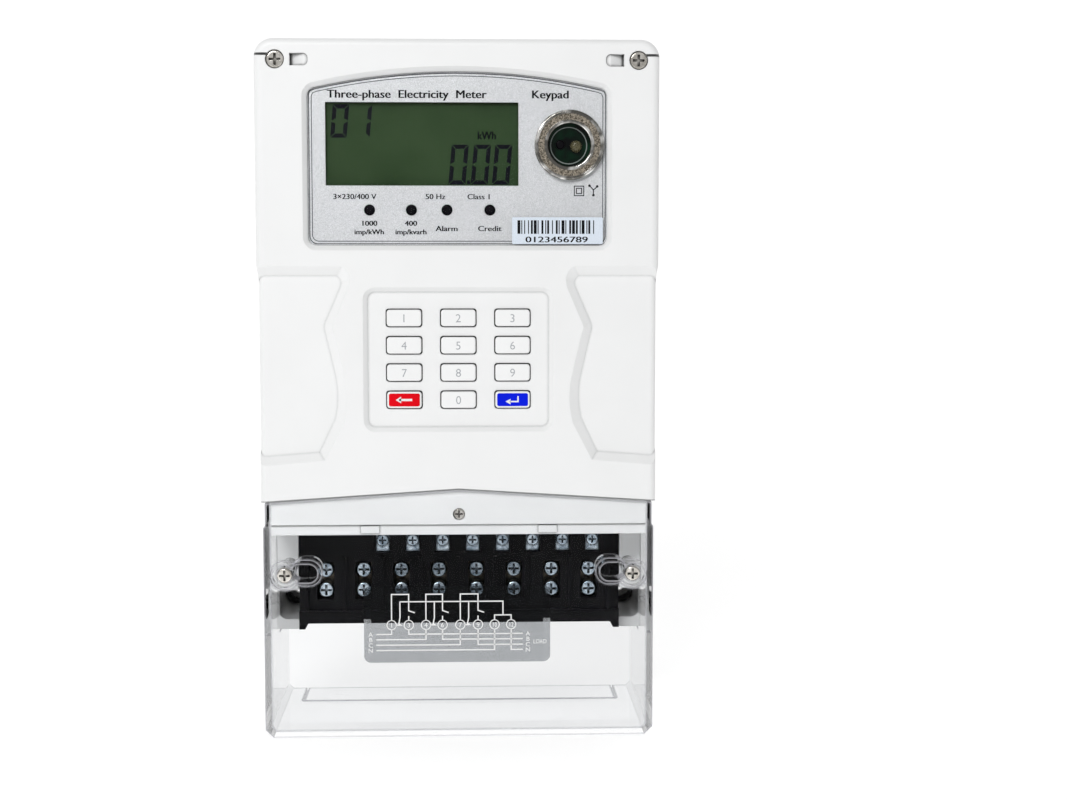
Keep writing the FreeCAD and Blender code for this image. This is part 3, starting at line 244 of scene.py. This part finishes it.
def clear(name, tint, roughness, index, wave, gloss, smoke=0.0, rim=0.0):
    """Clear moulded plastic with a slight flow wave.

    gloss scales how much it reflects, smoke is how dense it is to light, and rim how strongly its edges are
    painted a milky grey for the light gathered in them.
    """
    finish = Finish(name, tint, roughness, transmission_weight=1.0, ior=index)
    finish.set(finish.surface, {"Specular Tint": (gloss, gloss, gloss, 1.0)})
    finish.roughness(finish.noise(9.0), roughness * 0.7, roughness * 1.3)
    finish.relief(finish.noise(14.0), wave)
    if smoke:
        haze = finish.add("ShaderNodeVolumeAbsorption", Color=(0.0, 0.0, 0.0, 1.0), Density=smoke)
        finish.set(finish.output, {"Volume": haze.outputs["Volume"]})
    return finish.pass_lamps([math.sqrt(part) for part in tint], rim)


def white_case():
    case = moulded("case_white", (0.86, 0.865, 0.865), (0.84, 0.845, 0.845), 0.42, edges=0.5)
    # painted shade in the case's own seams, grooves and recesses
    return case.paint_gap_shade(1.3, 0.8, alone=True)


def white_key():
    key = moulded("key_white", (0.88, 0.885, 0.885), (0.86, 0.865, 0.865), 0.36, edges=0.2)
    # painted shade where the key sits close to the case round it
    return key.paint_gap_shade(1.2, 1.2)


def white_rear():
    """The rear shell's white, with painted shade in its recesses and a painted shadow inside it under the
    terminal block.
    """
    finish = moulded("rear_white", (0.86, 0.865, 0.865), (0.84, 0.845, 0.845), 0.42, edges=0.5)
    # painted shade in the shell's own recesses and pockets
    finish.paint_gap_shade(7.0, 1.3, alone=True)
    # painted shadow under the terminal block, kept off the back's outer face
    squeeze, near, far, darkest = 0.3, 11.0, 30.0, 0.5  # the shade is a wide flat oval that fades outwards
    away = finish.distance(0.0, box_mm("terminal_block")[2], squeeze)
    painted_shadow = finish.spread(away, near * MM, far * MM, low=darkest)
    depth = finish.add("ShaderNodeSeparateXYZ", Vector=finish.place).outputs["Y"]
    back_skin = 1.5  # what is nearer the wall than this is the back's outer face
    outside = finish.calculate("GREATER_THAN", depth, -back_skin * MM)
    return finish.darken(finish.calculate("MAXIMUM", painted_shadow, outside))


def nameplate_silver():
    """Silver-grey printed film with the fine sparkle of metallic ink."""
    finish = Finish("nameplate", (0.48, 0.485, 0.495), 0.45, metallic=0.25)
    finish.colour(finish.grains(0.22), (0.37, 0.375, 0.385), (0.55, 0.555, 0.57), 0.2, 0.8)
    return finish.relief(finish.noise(0.2), 0.01, 0.4)


def liquid_crystal():
    """Olive green polariser, its tone drifting a little from place to place."""
    finish = Finish("lcd", (0.024, 0.043, 0.019), 0.3, specular_ior_level=0.05)
    finish.colour(finish.noise(22.0), (0.02, 0.038, 0.016), (0.028, 0.049, 0.022))
    return finish.relief(finish.noise(0.5), 0.004, 0.3)


def port_nickel():
    """Nickel ring with polished rims, whose patchy dark and bright colour is painted reflection, and a
    speckled, bead-blasted face between them.
    """
    finish = Finish("port_nickel", (0.62, 0.6, 0.55), 0.3, metallic=1.0)
    left, right, low, high = box_mm("optical_port_ring")[:4]
    rim, bore_rim, soft = 1.5, 10.6, 0.2
    face_edge = (right - left) / 2 - rim
    away = finish.distance((left + right) / 2, (low + high) / 2)
    inside = finish.spread(away, face_edge * MM, (face_edge - soft) * MM)
    outside = finish.spread(away, (bore_rim - soft) * MM, bore_rim * MM)
    face = finish.calculate("MULTIPLY", inside, outside)
    speckle = finish.ramp(finish.grains(0.45), (0.07, 0.062, 0.048), (0.42, 0.37, 0.3), 0.2, 0.85)
    # painted reflections: the polished rims' colour swings in patches from dark to bright
    painted_rim_reflections = finish.ramp(finish.noise(7.0), (0.16, 0.155, 0.14), (0.88, 0.87, 0.84), 0.42, 0.6)
    finish.set(finish.surface, {"Base Color": finish.mix_colours(face, painted_rim_reflections, speckle)})
    finish.roughness(face, 0.12, 0.42)
    return finish.relief(finish.grains(0.34), 0.03, face, 0.2)


def frosted_film(name, tint, haze):
    """A grey see-through film with a faint milky surface."""
    finish = Finish(name, (0.8, 0.82, 0.84), 0.45)
    finish.relief(finish.noise(0.4), 0.01, 0.4)
    through = finish.add("ShaderNodeBsdfTransparent", Color=(*tint, 1.0)).outputs["BSDF"]
    cloud = finish.spread(finish.noise(3.0), 0.0, 1.0, haze * 0.8, haze * 1.2)
    finish.set(finish.output, {"Surface": finish.blend(cloud, through, finish.surface.outputs["BSDF"])})
    return finish


def tinted(name, tint, roughness):
    """Dark or clear epoxy with faint swirls."""
    finish = Finish(name, tint, roughness)
    finish.set(finish.surface, {"Transmission Weight": 0.75, "IOR": 1.4, "Specular IOR Level": 0.25})
    finish.colour(finish.noise(1.5), [part * 0.7 for part in tint], tint)
    finish.relief(finish.noise(0.8), 0.01, 0.4)
    return finish.pass_lamps(tint)


def port_green():
    """A nearly black infrared window with green depths and a pale line, a painted highlight on a lens's edge.
    """
    finish = Finish("port_dark", (0.0, 0.03, 0.012), 0.12, specular_ior_level=0.15)
    left, right, low, high = box_mm("optical_port_lens")[:4]
    ring_share, ring_half = 0.86, 0.22
    away = finish.distance((left + right) / 2, (low + high) / 2)
    # painted highlight: a pale line where the lens's edge catches the light
    ring = finish.calculate("COMPARE", away, ring_share * (right - left) / 2 * MM, ring_half * MM)
    depths = finish.ramp(finish.noise(9.0), (0.0, 0.001, 0.001), (0.0, 0.022, 0.008), 0.42, 0.68)
    finish.set(finish.surface, {"Base Color": finish.mix_colours(ring, depths, (0.22, 0.25, 0.24, 1.0))})
    return finish.relief(finish.noise(5.0), 0.02)


def board_green():
    """Solder mask with faint copper traces under it."""
    finish = Finish("circuit_board", (0.02, 0.2, 0.08), 0.3)
    wave = finish.add("ShaderNodeTexWave", Vector=finish.place, Scale=240.0, Distortion=3.0).outputs["Fac"]
    finish.colour(wave, (0.012, 0.14, 0.05), (0.03, 0.24, 0.09), 0.45, 0.55)
    return finish.relief(wave, 0.03, 0.5)


def ink(name, colour, roughness=0.5):
    """Printing ink, slightly uneven in tone and thickness."""
    finish = Finish(name, colour, roughness, specular_ior_level=0.1)
    finish.colour(finish.noise(0.4, 4.0), [part * 0.85 for part in colour], colour)
    return finish.relief(finish.noise(0.15), 0.004, 0.3)


def slot_finishes():
    """The finish of every material slot that the record names."""
    return {
        "case_white": white_case(),
        "clear_cover": clear("clear_cover", (0.88, 0.885, 0.89), 0.012, 1.3, 0.02, gloss=0.12, smoke=10.0,
                             rim=0.85),
        "clear_lens": clear("clear_lens", (0.985, 0.99, 0.99), 0.01, 1.15, 0.005, gloss=0.15),
        "nameplate": nameplate_silver(),
        "label": ink("label_paper", (0.74, 0.81, 0.9), 0.4),
        "lcd": liquid_crystal(),
        "backlight": moulded("backlight", (0.8, 0.84, 0.74), (0.76, 0.8, 0.7), 0.3, edges=0.2),
        "black_plastic": moulded("black_plastic", (0.0045, 0.0045, 0.0055), (0.002, 0.002, 0.003), 0.42, 0.5,
                                 0.03, 0.25, gloss=0.1),
        # the gap widths given to these metals paint shade, with a little oxide, into the gaps round screws
        # and terminals
        "nickel": metal("nickel", (0.9, 0.87, 0.82), (0.5, 0.47, 0.42), 0.12, 0.5, 0.03, grime_and_shade=1.2,
                        alone=True),
        "zinc": metal("zinc", (0.78, 0.88, 0.96), (0.2, 0.27, 0.34), 0.15, 0.5, 0.08, grime_and_shade=1.6),
        "steel": metal("galvanised", (0.62, 0.63, 0.64), (0.42, 0.43, 0.45), 0.38, 1.2, 0.02),
        "brass": metal("brass", (0.4, 0.34, 0.26), (0.16, 0.13, 0.1), 0.32, 0.4, 0.02,
                       stretch=(4.0, 4.0, 1.0), grime_and_shade=2.0),
        "copper": metal("copper", (0.78, 0.42, 0.28), (0.5, 0.25, 0.16), 0.28, 0.5, 0.02,
                        stretch=(1.0, 1.0, 9.0)),
        "port_dark": port_green(),
        "clear_led": tinted("clear_led", (0.42, 0.38, 0.2), 0.12),
        "lamp": moulded("lamp", (0.004, 0.003, 0.005), (0.002, 0.002, 0.003), 0.3, 0.5, 0.005, 0.1,
                        gloss=0.08),
        "key_white": white_key(),
        "key_red": moulded("key_red", (0.78, 0.0, 0.008), (0.7, 0.0, 0.006), 0.3, edges=0.15, gloss=0.1),
        "key_blue": moulded("key_blue", (0.0, 0.012, 0.78), (0.0, 0.01, 0.68), 0.3, edges=0.15, gloss=0.1),
        "rubber_mat": moulded("rubber_mat", (0.3, 0.3, 0.31), (0.24, 0.24, 0.25), 0.7, 0.3, 0.02, 0.3),
        "circuit_board": board_green(),
        "component": moulded("component", (0.04, 0.04, 0.046), (0.02, 0.02, 0.024), 0.4, 0.4, 0.02, 0.3),
        "core": metal("core", (0.16, 0.16, 0.17), (0.08, 0.08, 0.085), 0.55, 0.3, 0.03,
                      stretch=(9.0, 1.0, 1.0)),
        "ribbon": moulded("ribbon", (0.5, 0.5, 0.52), (0.42, 0.42, 0.44), 0.5, 0.4, 0.02, 0.05),
    }


# ---------------------------------------------------------------- marks: flat shapes at one level


CAPITAL_SHARE = 0.729  # height of a capital as a share of the lettering's size
SHARPEST_MITRE = 0.3  # limits how far a mitred corner reaches


class Marks:
    """Flat printed shapes at one level in front of the wall, gathered into one mesh."""

    def __init__(self, level, thick=INK):
        self.level = level
        self.thick = thick
        self.mesh = bmesh.new()

    def point(self, across, up, level):
        return self.mesh.verts.new((across * MM, -level * MM, up * MM))

    def wall(self, front, back, closed=True):
        """Joins a front line of points to a back line."""
        count = len(front)
        for index in range(count if closed else count - 1):
            after = (index + 1) % count
            self.mesh.faces.new((front[index], front[after], back[after], back[index]))

    def shape(self, outline):
        """A filled outline."""
        front = [self.point(x, z, self.level + self.thick) for x, z in outline]
        back = [self.point(x, z, self.level) for x, z in outline]
        self.mesh.faces.new(front)
        self.mesh.faces.new(back[::-1])
        self.wall(front, back)

    def bar(self, left, low, right, high):
        self.shape([(left, low), (right, low), (right, high), (left, high)])

    def ribbon(self, line, width, closed=False):
        """A line of even width along a path, with mitred corners."""
        rails = [self.rail(line, width * side / 2, closed) for side in (1, -1)]
        fronts = [[self.point(x, z, self.level + self.thick) for x, z in rail] for rail in rails]
        backs = [[self.point(x, z, self.level) for x, z in rail] for rail in rails]
        self.wall(fronts[0], fronts[1], closed)
        self.wall(backs[1], backs[0], closed)
        self.wall(fronts[1], backs[1], closed)
        self.wall(backs[0], fronts[0], closed)
        if not closed:
            for end in (0, -1):
                self.mesh.faces.new((fronts[0][end], backs[0][end], backs[1][end], fronts[1][end]))

    def rail(self, line, offset, closed):
        """The path moved sideways by an offset."""
        points = [Vector(point) for point in line]
        count = len(points)
        moved = []
        for index, point in enumerate(points):
            before = points[index - 1] if closed or index else point
            after = points[(index + 1) % count] if closed or index < count - 1 else point
            ways = [(b - a).normalized() for a, b in ((before, point), (point, after)) if (b - a).length > 0]
            middle = sum(ways, Vector((0, 0))).normalized()
            reach = offset / max(middle.dot(ways[0]), SHARPEST_MITRE)
            moved.append((point.x - middle.y * reach, point.y + middle.x * reach))
        return moved

    def ring(self, across, up, radius, width, steps=40):
        self.ribbon(circle(across, up, radius, steps), width, closed=True)

    def disc(self, across, up, radius, steps=32):
        self.shape(circle(across, up, radius, steps))

    def text(self, words, height, across, up, align="CENTER", stretch=1.0, weight=0.0, bold=0.0):
        """Plain lettering; height is that of a capital, and up is the middle of the capitals.

        bold repeats it that far to each side, which thickens the upright strokes.
        """
        if bold:
            for shift in (-bold, bold):
                self.text(words, height, across + shift, up, align, stretch, weight)
        curve = bpy.data.curves.new("lettering", "FONT")
        curve.body = words
        curve.size = height / CAPITAL_SHARE
        curve.align_x = align
        curve.extrude = self.thick / 2
        curve.offset = weight
        curve.resolution_u = 4
        letters = bpy.data.objects.new("lettering", curve)
        mesh = bpy.data.meshes.new_from_object(letters)
        upright = Matrix.Rotation(math.pi / 2, 4, "X") @ Matrix.Diagonal((stretch, 1.0, 1.0, 1.0))
        place = Matrix.Translation((across, -self.level - self.thick / 2, up - height / 2))
        mesh.transform(Matrix.Scale(MM, 4) @ place @ upright)
        self.mesh.from_mesh(mesh)
        bpy.data.meshes.remove(mesh)
        bpy.data.objects.remove(letters)
        bpy.data.curves.remove(curve)

    def finish(self, name, body, slot, finish):
        """Makes the piece, which rides on a body."""
        bmesh.ops.recalc_face_normals(self.mesh, faces=self.mesh.faces)
        data = bpy.data.meshes.new(name)
        self.mesh.to_mesh(data)
        self.mesh.free()
        data.materials.append(finish.material)
        piece = bpy.data.objects.new(name, data)
        bpy.context.scene.collection.objects.link(piece)
        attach(piece, body)
        return piece


def circle(across, up, radius, steps):
    turns = [2 * math.pi * step / steps for step in range(steps)]
    return [(across + radius * math.cos(turn), up + radius * math.sin(turn)) for turn in turns]


def rounded(left, low, right, high, radius, steps=6):
    """A rectangle with round corners."""
    corners = [(right - radius, low + radius, -90), (right - radius, high - radius, 0),
               (left + radius, high - radius, 90), (left + radius, low + radius, 180)]
    outline = []
    for across, up, start in corners:
        for step in range(steps + 1):
            turn = math.radians(start + 90 * step / steps)
            outline.append((across + radius * math.cos(turn), up + radius * math.sin(turn)))
    return outline


# ---------------------------------------------------------------- nameplate and display


ARCH_RADIUS = 270.0
ARCH_STEPS = 24
WINDOW_ROUND = 3.5
ROUND_STEPS = 6


def window_line(inset, round_shoulder=2.2):
    """The window's arched outline, drawn in from the nameplate's edge."""
    left, right, low, high = box_mm("nameplate")[:4]
    middle, half = (left + right) / 2, (right - left) / 2 - inset
    low, crown = low + inset, high - inset
    arch = ARCH_RADIUS - inset
    radius = WINDOW_ROUND - inset / 2
    outline = []
    for side, start in ((-1, 180), (1, 270)):
        for step in range(ROUND_STEPS + 1):
            turn = math.radians(start + 90 * step / ROUND_STEPS)
            outline.append((middle + side * (half - radius) + radius * math.cos(turn),
                            low + radius + radius * math.sin(turn)))
    reach = half - round_shoulder
    shoulder = crown - arch + math.sqrt(arch * arch - reach * reach)
    corner = [(half, shoulder - round_shoulder),
              (half - 0.25 * round_shoulder, shoulder - 0.3 * round_shoulder),
              (reach, shoulder)]
    outline += [(middle + across, up) for across, up in corner]
    for step in range(1, ARCH_STEPS):
        across = reach - 2 * reach * step / ARCH_STEPS
        outline.append((middle + across, crown - arch + math.sqrt(arch * arch - across * across)))
    outline += [(middle - across, up) for across, up in corner[::-1]]
    return outline


# The plate's lettering: words, height, place up and across, alignment, stretch and boldness.
PLATE_WORDS = (
    ("Three-phase  Electricity  Meter", 3.5, 127.2, -54.7, "LEFT", 1.1, 0.15),
    ("Keypad", 3.5, 127.2, 39.0, "CENTER", 1.1, 0.15),
    ("3×230/400 V", 2.3, 84.4, -43.4, "CENTER", 1.1, 0.09),
    ("50 Hz", 2.3, 84.4, -9.5, "CENTER", 1.1, 0.09),
    ("Class 1", 2.3, 84.4, 9.0, "CENTER", 1.1, 0.09),
    ("1000", 2.2, 73.2, -37.4, "CENTER", 1.15, 0.11),
    ("400", 2.2, 73.2, -19.8, "CENTER", 1.15, 0.11),
    ("imp/kWh", 2.2, 69.6, -37.4, "CENTER", 1.1, 0.11),
    ("imp/kvarh", 2.2, 69.6, -19.8, "CENTER", 1.1, 0.11),
    ("Alarm", 2.3, 71.0, -4.7, "CENTER", 1.2, 0.11),
    ("Credit", 2.3, 71.0, 13.4, "CENTER", 1.2, 0.11),
)


def print_nameplate(black):
    """The plate's generic lettering, the double-square insulation symbol and a small star symbol."""
    plate = Marks(box_mm("nameplate")[5])
    for words, height, up, across, align, stretch, bold in PLATE_WORDS:
        plate.text(words, height, across, up, align, stretch, bold=bold)
    middle, up = 51.2, 86.8
    for half in (2.0, 1.1):
        plate.ribbon([(middle - half, up - half), (middle + half, up - half), (middle + half, up + half),
                      (middle - half, up + half)], 0.4, closed=True)
    plate.ribbon([(57.3, 85.2), (57.3, 87.2), (55.8, 88.9)], 0.45)
    plate.ribbon([(57.3, 87.2), (58.9, 88.6)], 0.45)
    for across, up in ((57.3, 85.0), (55.6, 89.0), (58.9, 88.7)):
        plate.disc(across, up, 0.55)
    plate.finish("nameplate_print", "housing", "nameplate", black)


def print_border(grey):
    """The thin double line round the plate."""
    border = Marks(box_mm("nameplate")[5])
    border.ribbon(window_line(0.55), 0.4, closed=True)
    border.ribbon(window_line(1.65), 0.35, closed=True)
    border.finish("nameplate_border", "housing", "nameplate", grey)


DIGIT_PARTS = {"0": "abcdef", "1": "bc"}
# The reading's digits: left, low, width and height.
READING = (
    ("0", -53.6, 109.0, 6.9, 13.9), ("1", -43.9, 109.0, 6.9, 13.9),
    ("0", -4.0, 89.5, 7.2, 16.7), ("0", 5.4, 89.5, 7.2, 16.7), ("0", 14.4, 89.5, 7.2, 16.7),
)


def seven_segments(wide, high, stroke, gap):
    """The bars of a seven-segment digit as outlines from its lower left corner."""
    half = high / 2
    upper_left = [(0, high - gap), (0, half + gap), (stroke, half + gap + stroke * 0.5),
                  (stroke, high - stroke - gap)]
    top = [(gap, high), (wide - gap, high), (wide - stroke - gap, high - stroke),
           (stroke + gap, high - stroke)]
    return {
        "a": top,
        "b": [(wide - x, z) for x, z in upper_left],
        "c": [(wide - x, high - z) for x, z in upper_left],
        "d": [(x, high - z) for x, z in top],
        "e": [(x, high - z) for x, z in upper_left],
        "f": upper_left,
    }


def display_digits(dark):
    """The reading: a two-digit code at the top left and an amount at the lower right."""
    reading = Marks(box_mm("lcd_panel")[5])
    lean, stroke, gap = 0.09, 1.75, 0.22
    for digit, left, low, wide, high in READING:
        bars = seven_segments(wide, high, stroke, gap)
        for part in DIGIT_PARTS[digit]:
            reading.shape([(left + x + z * lean, low + z) for x, z in bars[part]])
    point_left, point_low, point_wide, point_high = 3.9, 89.7, 1.3, 1.5
    reading.bar(point_left, point_low, point_left + point_wide, point_low + point_high)
    reading.text("kWh", 3.5, 12.3, 110.2, stretch=0.82, bold=0.14)
    reading.finish("display_reading", "housing", "lcd", dark)


BAR_WIDTHS = "3112131221311322112313211231132131221132112313"  # bars and gaps in turn; they carry no code


def print_barcode(black):
    """Plain bars with a counting number below them."""
    marks = Marks(box_mm("barcode_label")[5])
    left, right, low, high = 25.1, 58.7, 68.7, 74.4
    unit = (right - left) / sum(int(width) for width in BAR_WIDTHS)
    for index, width in enumerate(BAR_WIDTHS):
        wide = unit * int(width)
        if index % 2 == 0:
            marks.bar(left, low, left + wide, high)
        left += wide
    marks.text("0123456789", 2.5, 41.7, 66.4, stretch=1.55, bold=0.1)
    marks.finish("barcode_print", "housing", "label", black)


# ---------------------------------------------------------------- keys


KEY_FLANGE = 1.1  # how far a key's foot reaches past its top
KEY_RIM = 0.75  # white edge left round a coloured key's face
KEY_ROUND = 0.8
SUNK = 0.01  # how deep a coloured face is sunk into its key
# Each arrow's shaft, the shaft's width, and the arrow's head, measured from the middle of the key.
ARROWS = {
    "backspace": ([(-2.2, 0.0), (3.3, 0.0)], 0.95, [(-3.7, 0.0), (-1.4, -1.4), (-1.4, 1.4)]),
    "enter": ([(-1.2, -0.8), (2.3, -0.8), (2.3, 1.5)], 0.6, [(-3.0, -0.8), (-0.9, -2.0), (-0.9, 0.4)]),
}


def key_numerals(grey):
    for name in "1234567890":
        left, right, low, high, _, front = box_mm(f"key_{name}")
        marks = Marks(front)
        marks.text(name, 3.6, (left + right) / 2, (low + high) / 2, weight=-0.07)
        marks.finish(f"key_{name}_numeral", f"key_{name}", "key_white", grey)


def key_faces(white, finishes):
    """A coloured face with a white arrow on each of the two other keys, which are white themselves."""
    for name, slot in (("backspace", "key_red"), ("enter", "key_blue")):
        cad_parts[f"key_{name}"].material_slots[0].material = finishes["key_white"].material
        left, right, low, high, _, front = box_mm(f"key_{name}")
        inset = KEY_FLANGE + KEY_RIM
        face = Marks(front - SUNK)
        face.shape(rounded(left + inset, low + inset, right - inset, high - inset, KEY_ROUND))
        face.finish(f"key_{name}_face", f"key_{name}", slot, finishes[slot])
        across, up = (left + right) / 2, (low + high) / 2
        shaft, width, head = ARROWS[name]
        arrow = Marks(front + INK)
        arrow.ribbon([(across + x, up + z) for x, z in shaft], width)
        arrow.shape([(across + x, up + z) for x, z in head])
        arrow.finish(f"key_{name}_arrow", f"key_{name}", slot, white)


# ---------------------------------------------------------------- terminal cover


def print_diagram(white):
    """A plain connection diagram: circled terminals, phase lines and the switches above them."""
    front = box_mm("wiring_label")[5]
    marks = Marks(front - INK + PROUD)
    line, ring_line, radius, level_up = 0.5, 0.38, 2.0, -98.2
    terminals = [-29.0, -21.65, -14.3, -7.2, 0.4, 8.0, 15.1, 22.2]
    numbers = ("1", "3", "4", "6", "7", "9", "10", "12")
    for across, number in zip(terminals, numbers):
        marks.ring(across, level_up, radius, ring_line, 28)
        marks.text(number, 2.1, across, level_up, stretch=0.75 if len(number) > 1 else 1.0)
    rows = {"A": -102.2, "B": -104.5, "C": -106.9, "N": -109.2}
    left_end, right_end, left_letter, right_letter = -35.6, 27.2, -38.0, 29.4
    for index, (letter, row) in enumerate(rows.items()):
        source, load = terminals[2 * index], terminals[2 * index + 1]
        marks.ribbon([(left_end, row), (source, row), (source, level_up - radius)], line)
        marks.ribbon([(load, level_up - radius), (load, row), (right_end, row)], line)
        for side in (left_letter, right_letter):
            marks.text(letter, 1.9, side, row, stretch=1.1)
    bridge, bus, fork, bus_end, coil = -84.9, -88.1, -94.1, 18.7, 3.6
    switch_top, switch_tip, switch_foot, switch_reach = -92.0, -92.9, -94.3, 2.6
    for source, load in zip(terminals[0:6:2], terminals[1:6:2]):
        marks.ribbon([(source, level_up + radius), (source, bridge), (load, bridge), (load, switch_top),
                      (load + switch_reach, switch_tip)], line)
        marks.ribbon([(load, switch_foot), (load, level_up + radius)], line)
        marks.ribbon([(source + coil, bus), (source + coil, -95.0), (source + coil - 0.5, -97.6),
                      (source + coil + 0.3, level_up), (source + radius, level_up)], line)
    marks.ribbon([(terminals[0] + coil, bus), (bus_end, bus), (bus_end, fork)], line)
    marks.ribbon([(terminals[6], level_up + radius), (terminals[6], fork), (terminals[7], fork),
                  (terminals[7], level_up + radius)], line)
    marks.text("LOAD", 1.9, 34.6, -105.7, stretch=0.82)
    marks.finish("diagram_print", "terminal_cover", "clear_cover", white)


# ---------------------------------------------------------------- scene


def build_stage(low):
    """A plain pale floor that curves up into a backdrop and glows a little behind the object."""
    wide, near, far, tall, bend, steps = 3.0, -1.6, 0.9, 2.2, 0.5, 12
    profile = [(near, low)]
    for step in range(steps + 1):
        turn = math.pi / 2 * step / steps
        profile.append((far - bend + bend * math.sin(turn), low + bend - bend * math.cos(turn)))
    profile.append((far, low + tall))
    sweep = bmesh.new()
    rows = [[sweep.verts.new((side * wide, depth, up)) for depth, up in profile] for side in (-1, 1)]
    for index in range(len(profile) - 1):
        sweep.faces.new((rows[0][index], rows[1][index], rows[1][index + 1], rows[0][index + 1]))
    data = bpy.data.meshes.new("floor")
    sweep.to_mesh(data)
    sweep.free()
    for face in data.polygons:
        face.use_smooth = True
    finish = Finish("pale_floor", (0.6, 0.6, 0.6), 0.8, specular_ior_level=0.0)
    split = finish.add("ShaderNodeSeparateXYZ", Vector=finish.place)
    glow = finish.spread(split.outputs["Y"], -0.8, -0.2, 0.12, 0.6)
    finish.set(finish.surface, {"Emission Color": (1.0, 1.0, 1.0, 1.0), "Emission Strength": glow})
    finish.colour(finish.noise(300.0), (0.59, 0.59, 0.59), (0.61, 0.61, 0.61))
    data.materials.append(finish.material)
    floor = bpy.data.objects.new("floor", data)
    bpy.context.scene.collection.objects.link(floor)


def soft_light(name, place, aim, size, power):
    lamp = bpy.data.lights.new(name, "AREA")
    lamp.shape = "RECTANGLE"
    lamp.size, lamp.size_y = size
    lamp.energy = power
    holder = bpy.data.objects.new(name, lamp)
    holder.location = place
    holder.rotation_euler = (Vector(aim) - Vector(place)).to_track_quat("-Z", "Y").to_euler()
    bpy.context.scene.collection.objects.link(holder)


def build_light():
    """One soft lamp in a pale studio that is a little brighter behind the camera than elsewhere."""
    world = bpy.data.worlds.new("studio")
    world.use_nodes = True
    tree = world.node_tree
    way = tree.nodes.new("ShaderNodeTexCoord").outputs["Generated"]
    split = tree.nodes.new("ShaderNodeSeparateXYZ")
    tree.links.new(way, split.inputs["Vector"])
    spread = tree.nodes.new("ShaderNodeMapRange")
    tree.links.new(split.outputs["Y"], spread.inputs["Value"])
    for name, value in {"From Min": -1.0, "From Max": 0.0, "To Min": 0.55, "To Max": 0.36}.items():
        spread.inputs[name].default_value = value
    tree.links.new(spread.outputs["Result"], tree.nodes["Background"].inputs["Strength"])
    tree.nodes["Background"].inputs["Color"].default_value = (1.0, 1.0, 1.0, 1.0)
    bpy.context.scene.world = world
    soft_light("key", (-0.42, -1.2, 0.75), (0, 0, 0), (0.6, 0.45), 9.0)


def build_camera():
    """The camera stands in front and a little above, turned and tipped slightly."""
    tip, turn = 4.81, 2.23
    data = bpy.data.cameras.new("camera")
    data.lens = 59.0
    data.sensor_width = 36.0
    camera = bpy.data.objects.new("camera", data)
    camera.location = (0.003, -0.82, 0.0607)
    camera.rotation_euler = (math.radians(90 - tip), 0.0, math.radians(-turn))
    bpy.context.scene.collection.objects.link(camera)
    bpy.context.scene.camera = camera
    bpy.context.scene.view_settings.view_transform = "Standard"


def dress_frame(finishes):
    """Gives every CAD node the procedural finish of its record slot, and three of them one of their own."""
    for name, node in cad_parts.items():
        slot = node.data.materials[0].name.split(".")[0]
        node.material_slots[0].material = finishes[slot].material
    own = {
        "optical_port_ring": port_nickel(),
        "rear_case": white_rear(),
        "wiring_label": frosted_film("frosted_plaque", (0.7, 0.71, 0.72), 0.004),
    }
    for name, finish in own.items():
        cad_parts[name].material_slots[0].material = finish.material


def main():
    finishes = slot_finishes()
    dress_frame(finishes)
    black = ink("black_ink", (0.006, 0.006, 0.008))
    print_nameplate(black)
    print_border(ink("grey_ink", (0.07, 0.075, 0.08)))
    display_digits(ink("display_dark", (0.001, 0.0012, 0.005), 0.4))
    print_barcode(black)
    white = ink("white_ink", (0.9, 0.9, 0.9))
    key_numerals(ink("key_grey_ink", (0.42, 0.44, 0.47)))
    key_faces(white, finishes)
    print_diagram(white)
    build_stage(cad_box[0].z)
    build_light()
    build_camera()


main()
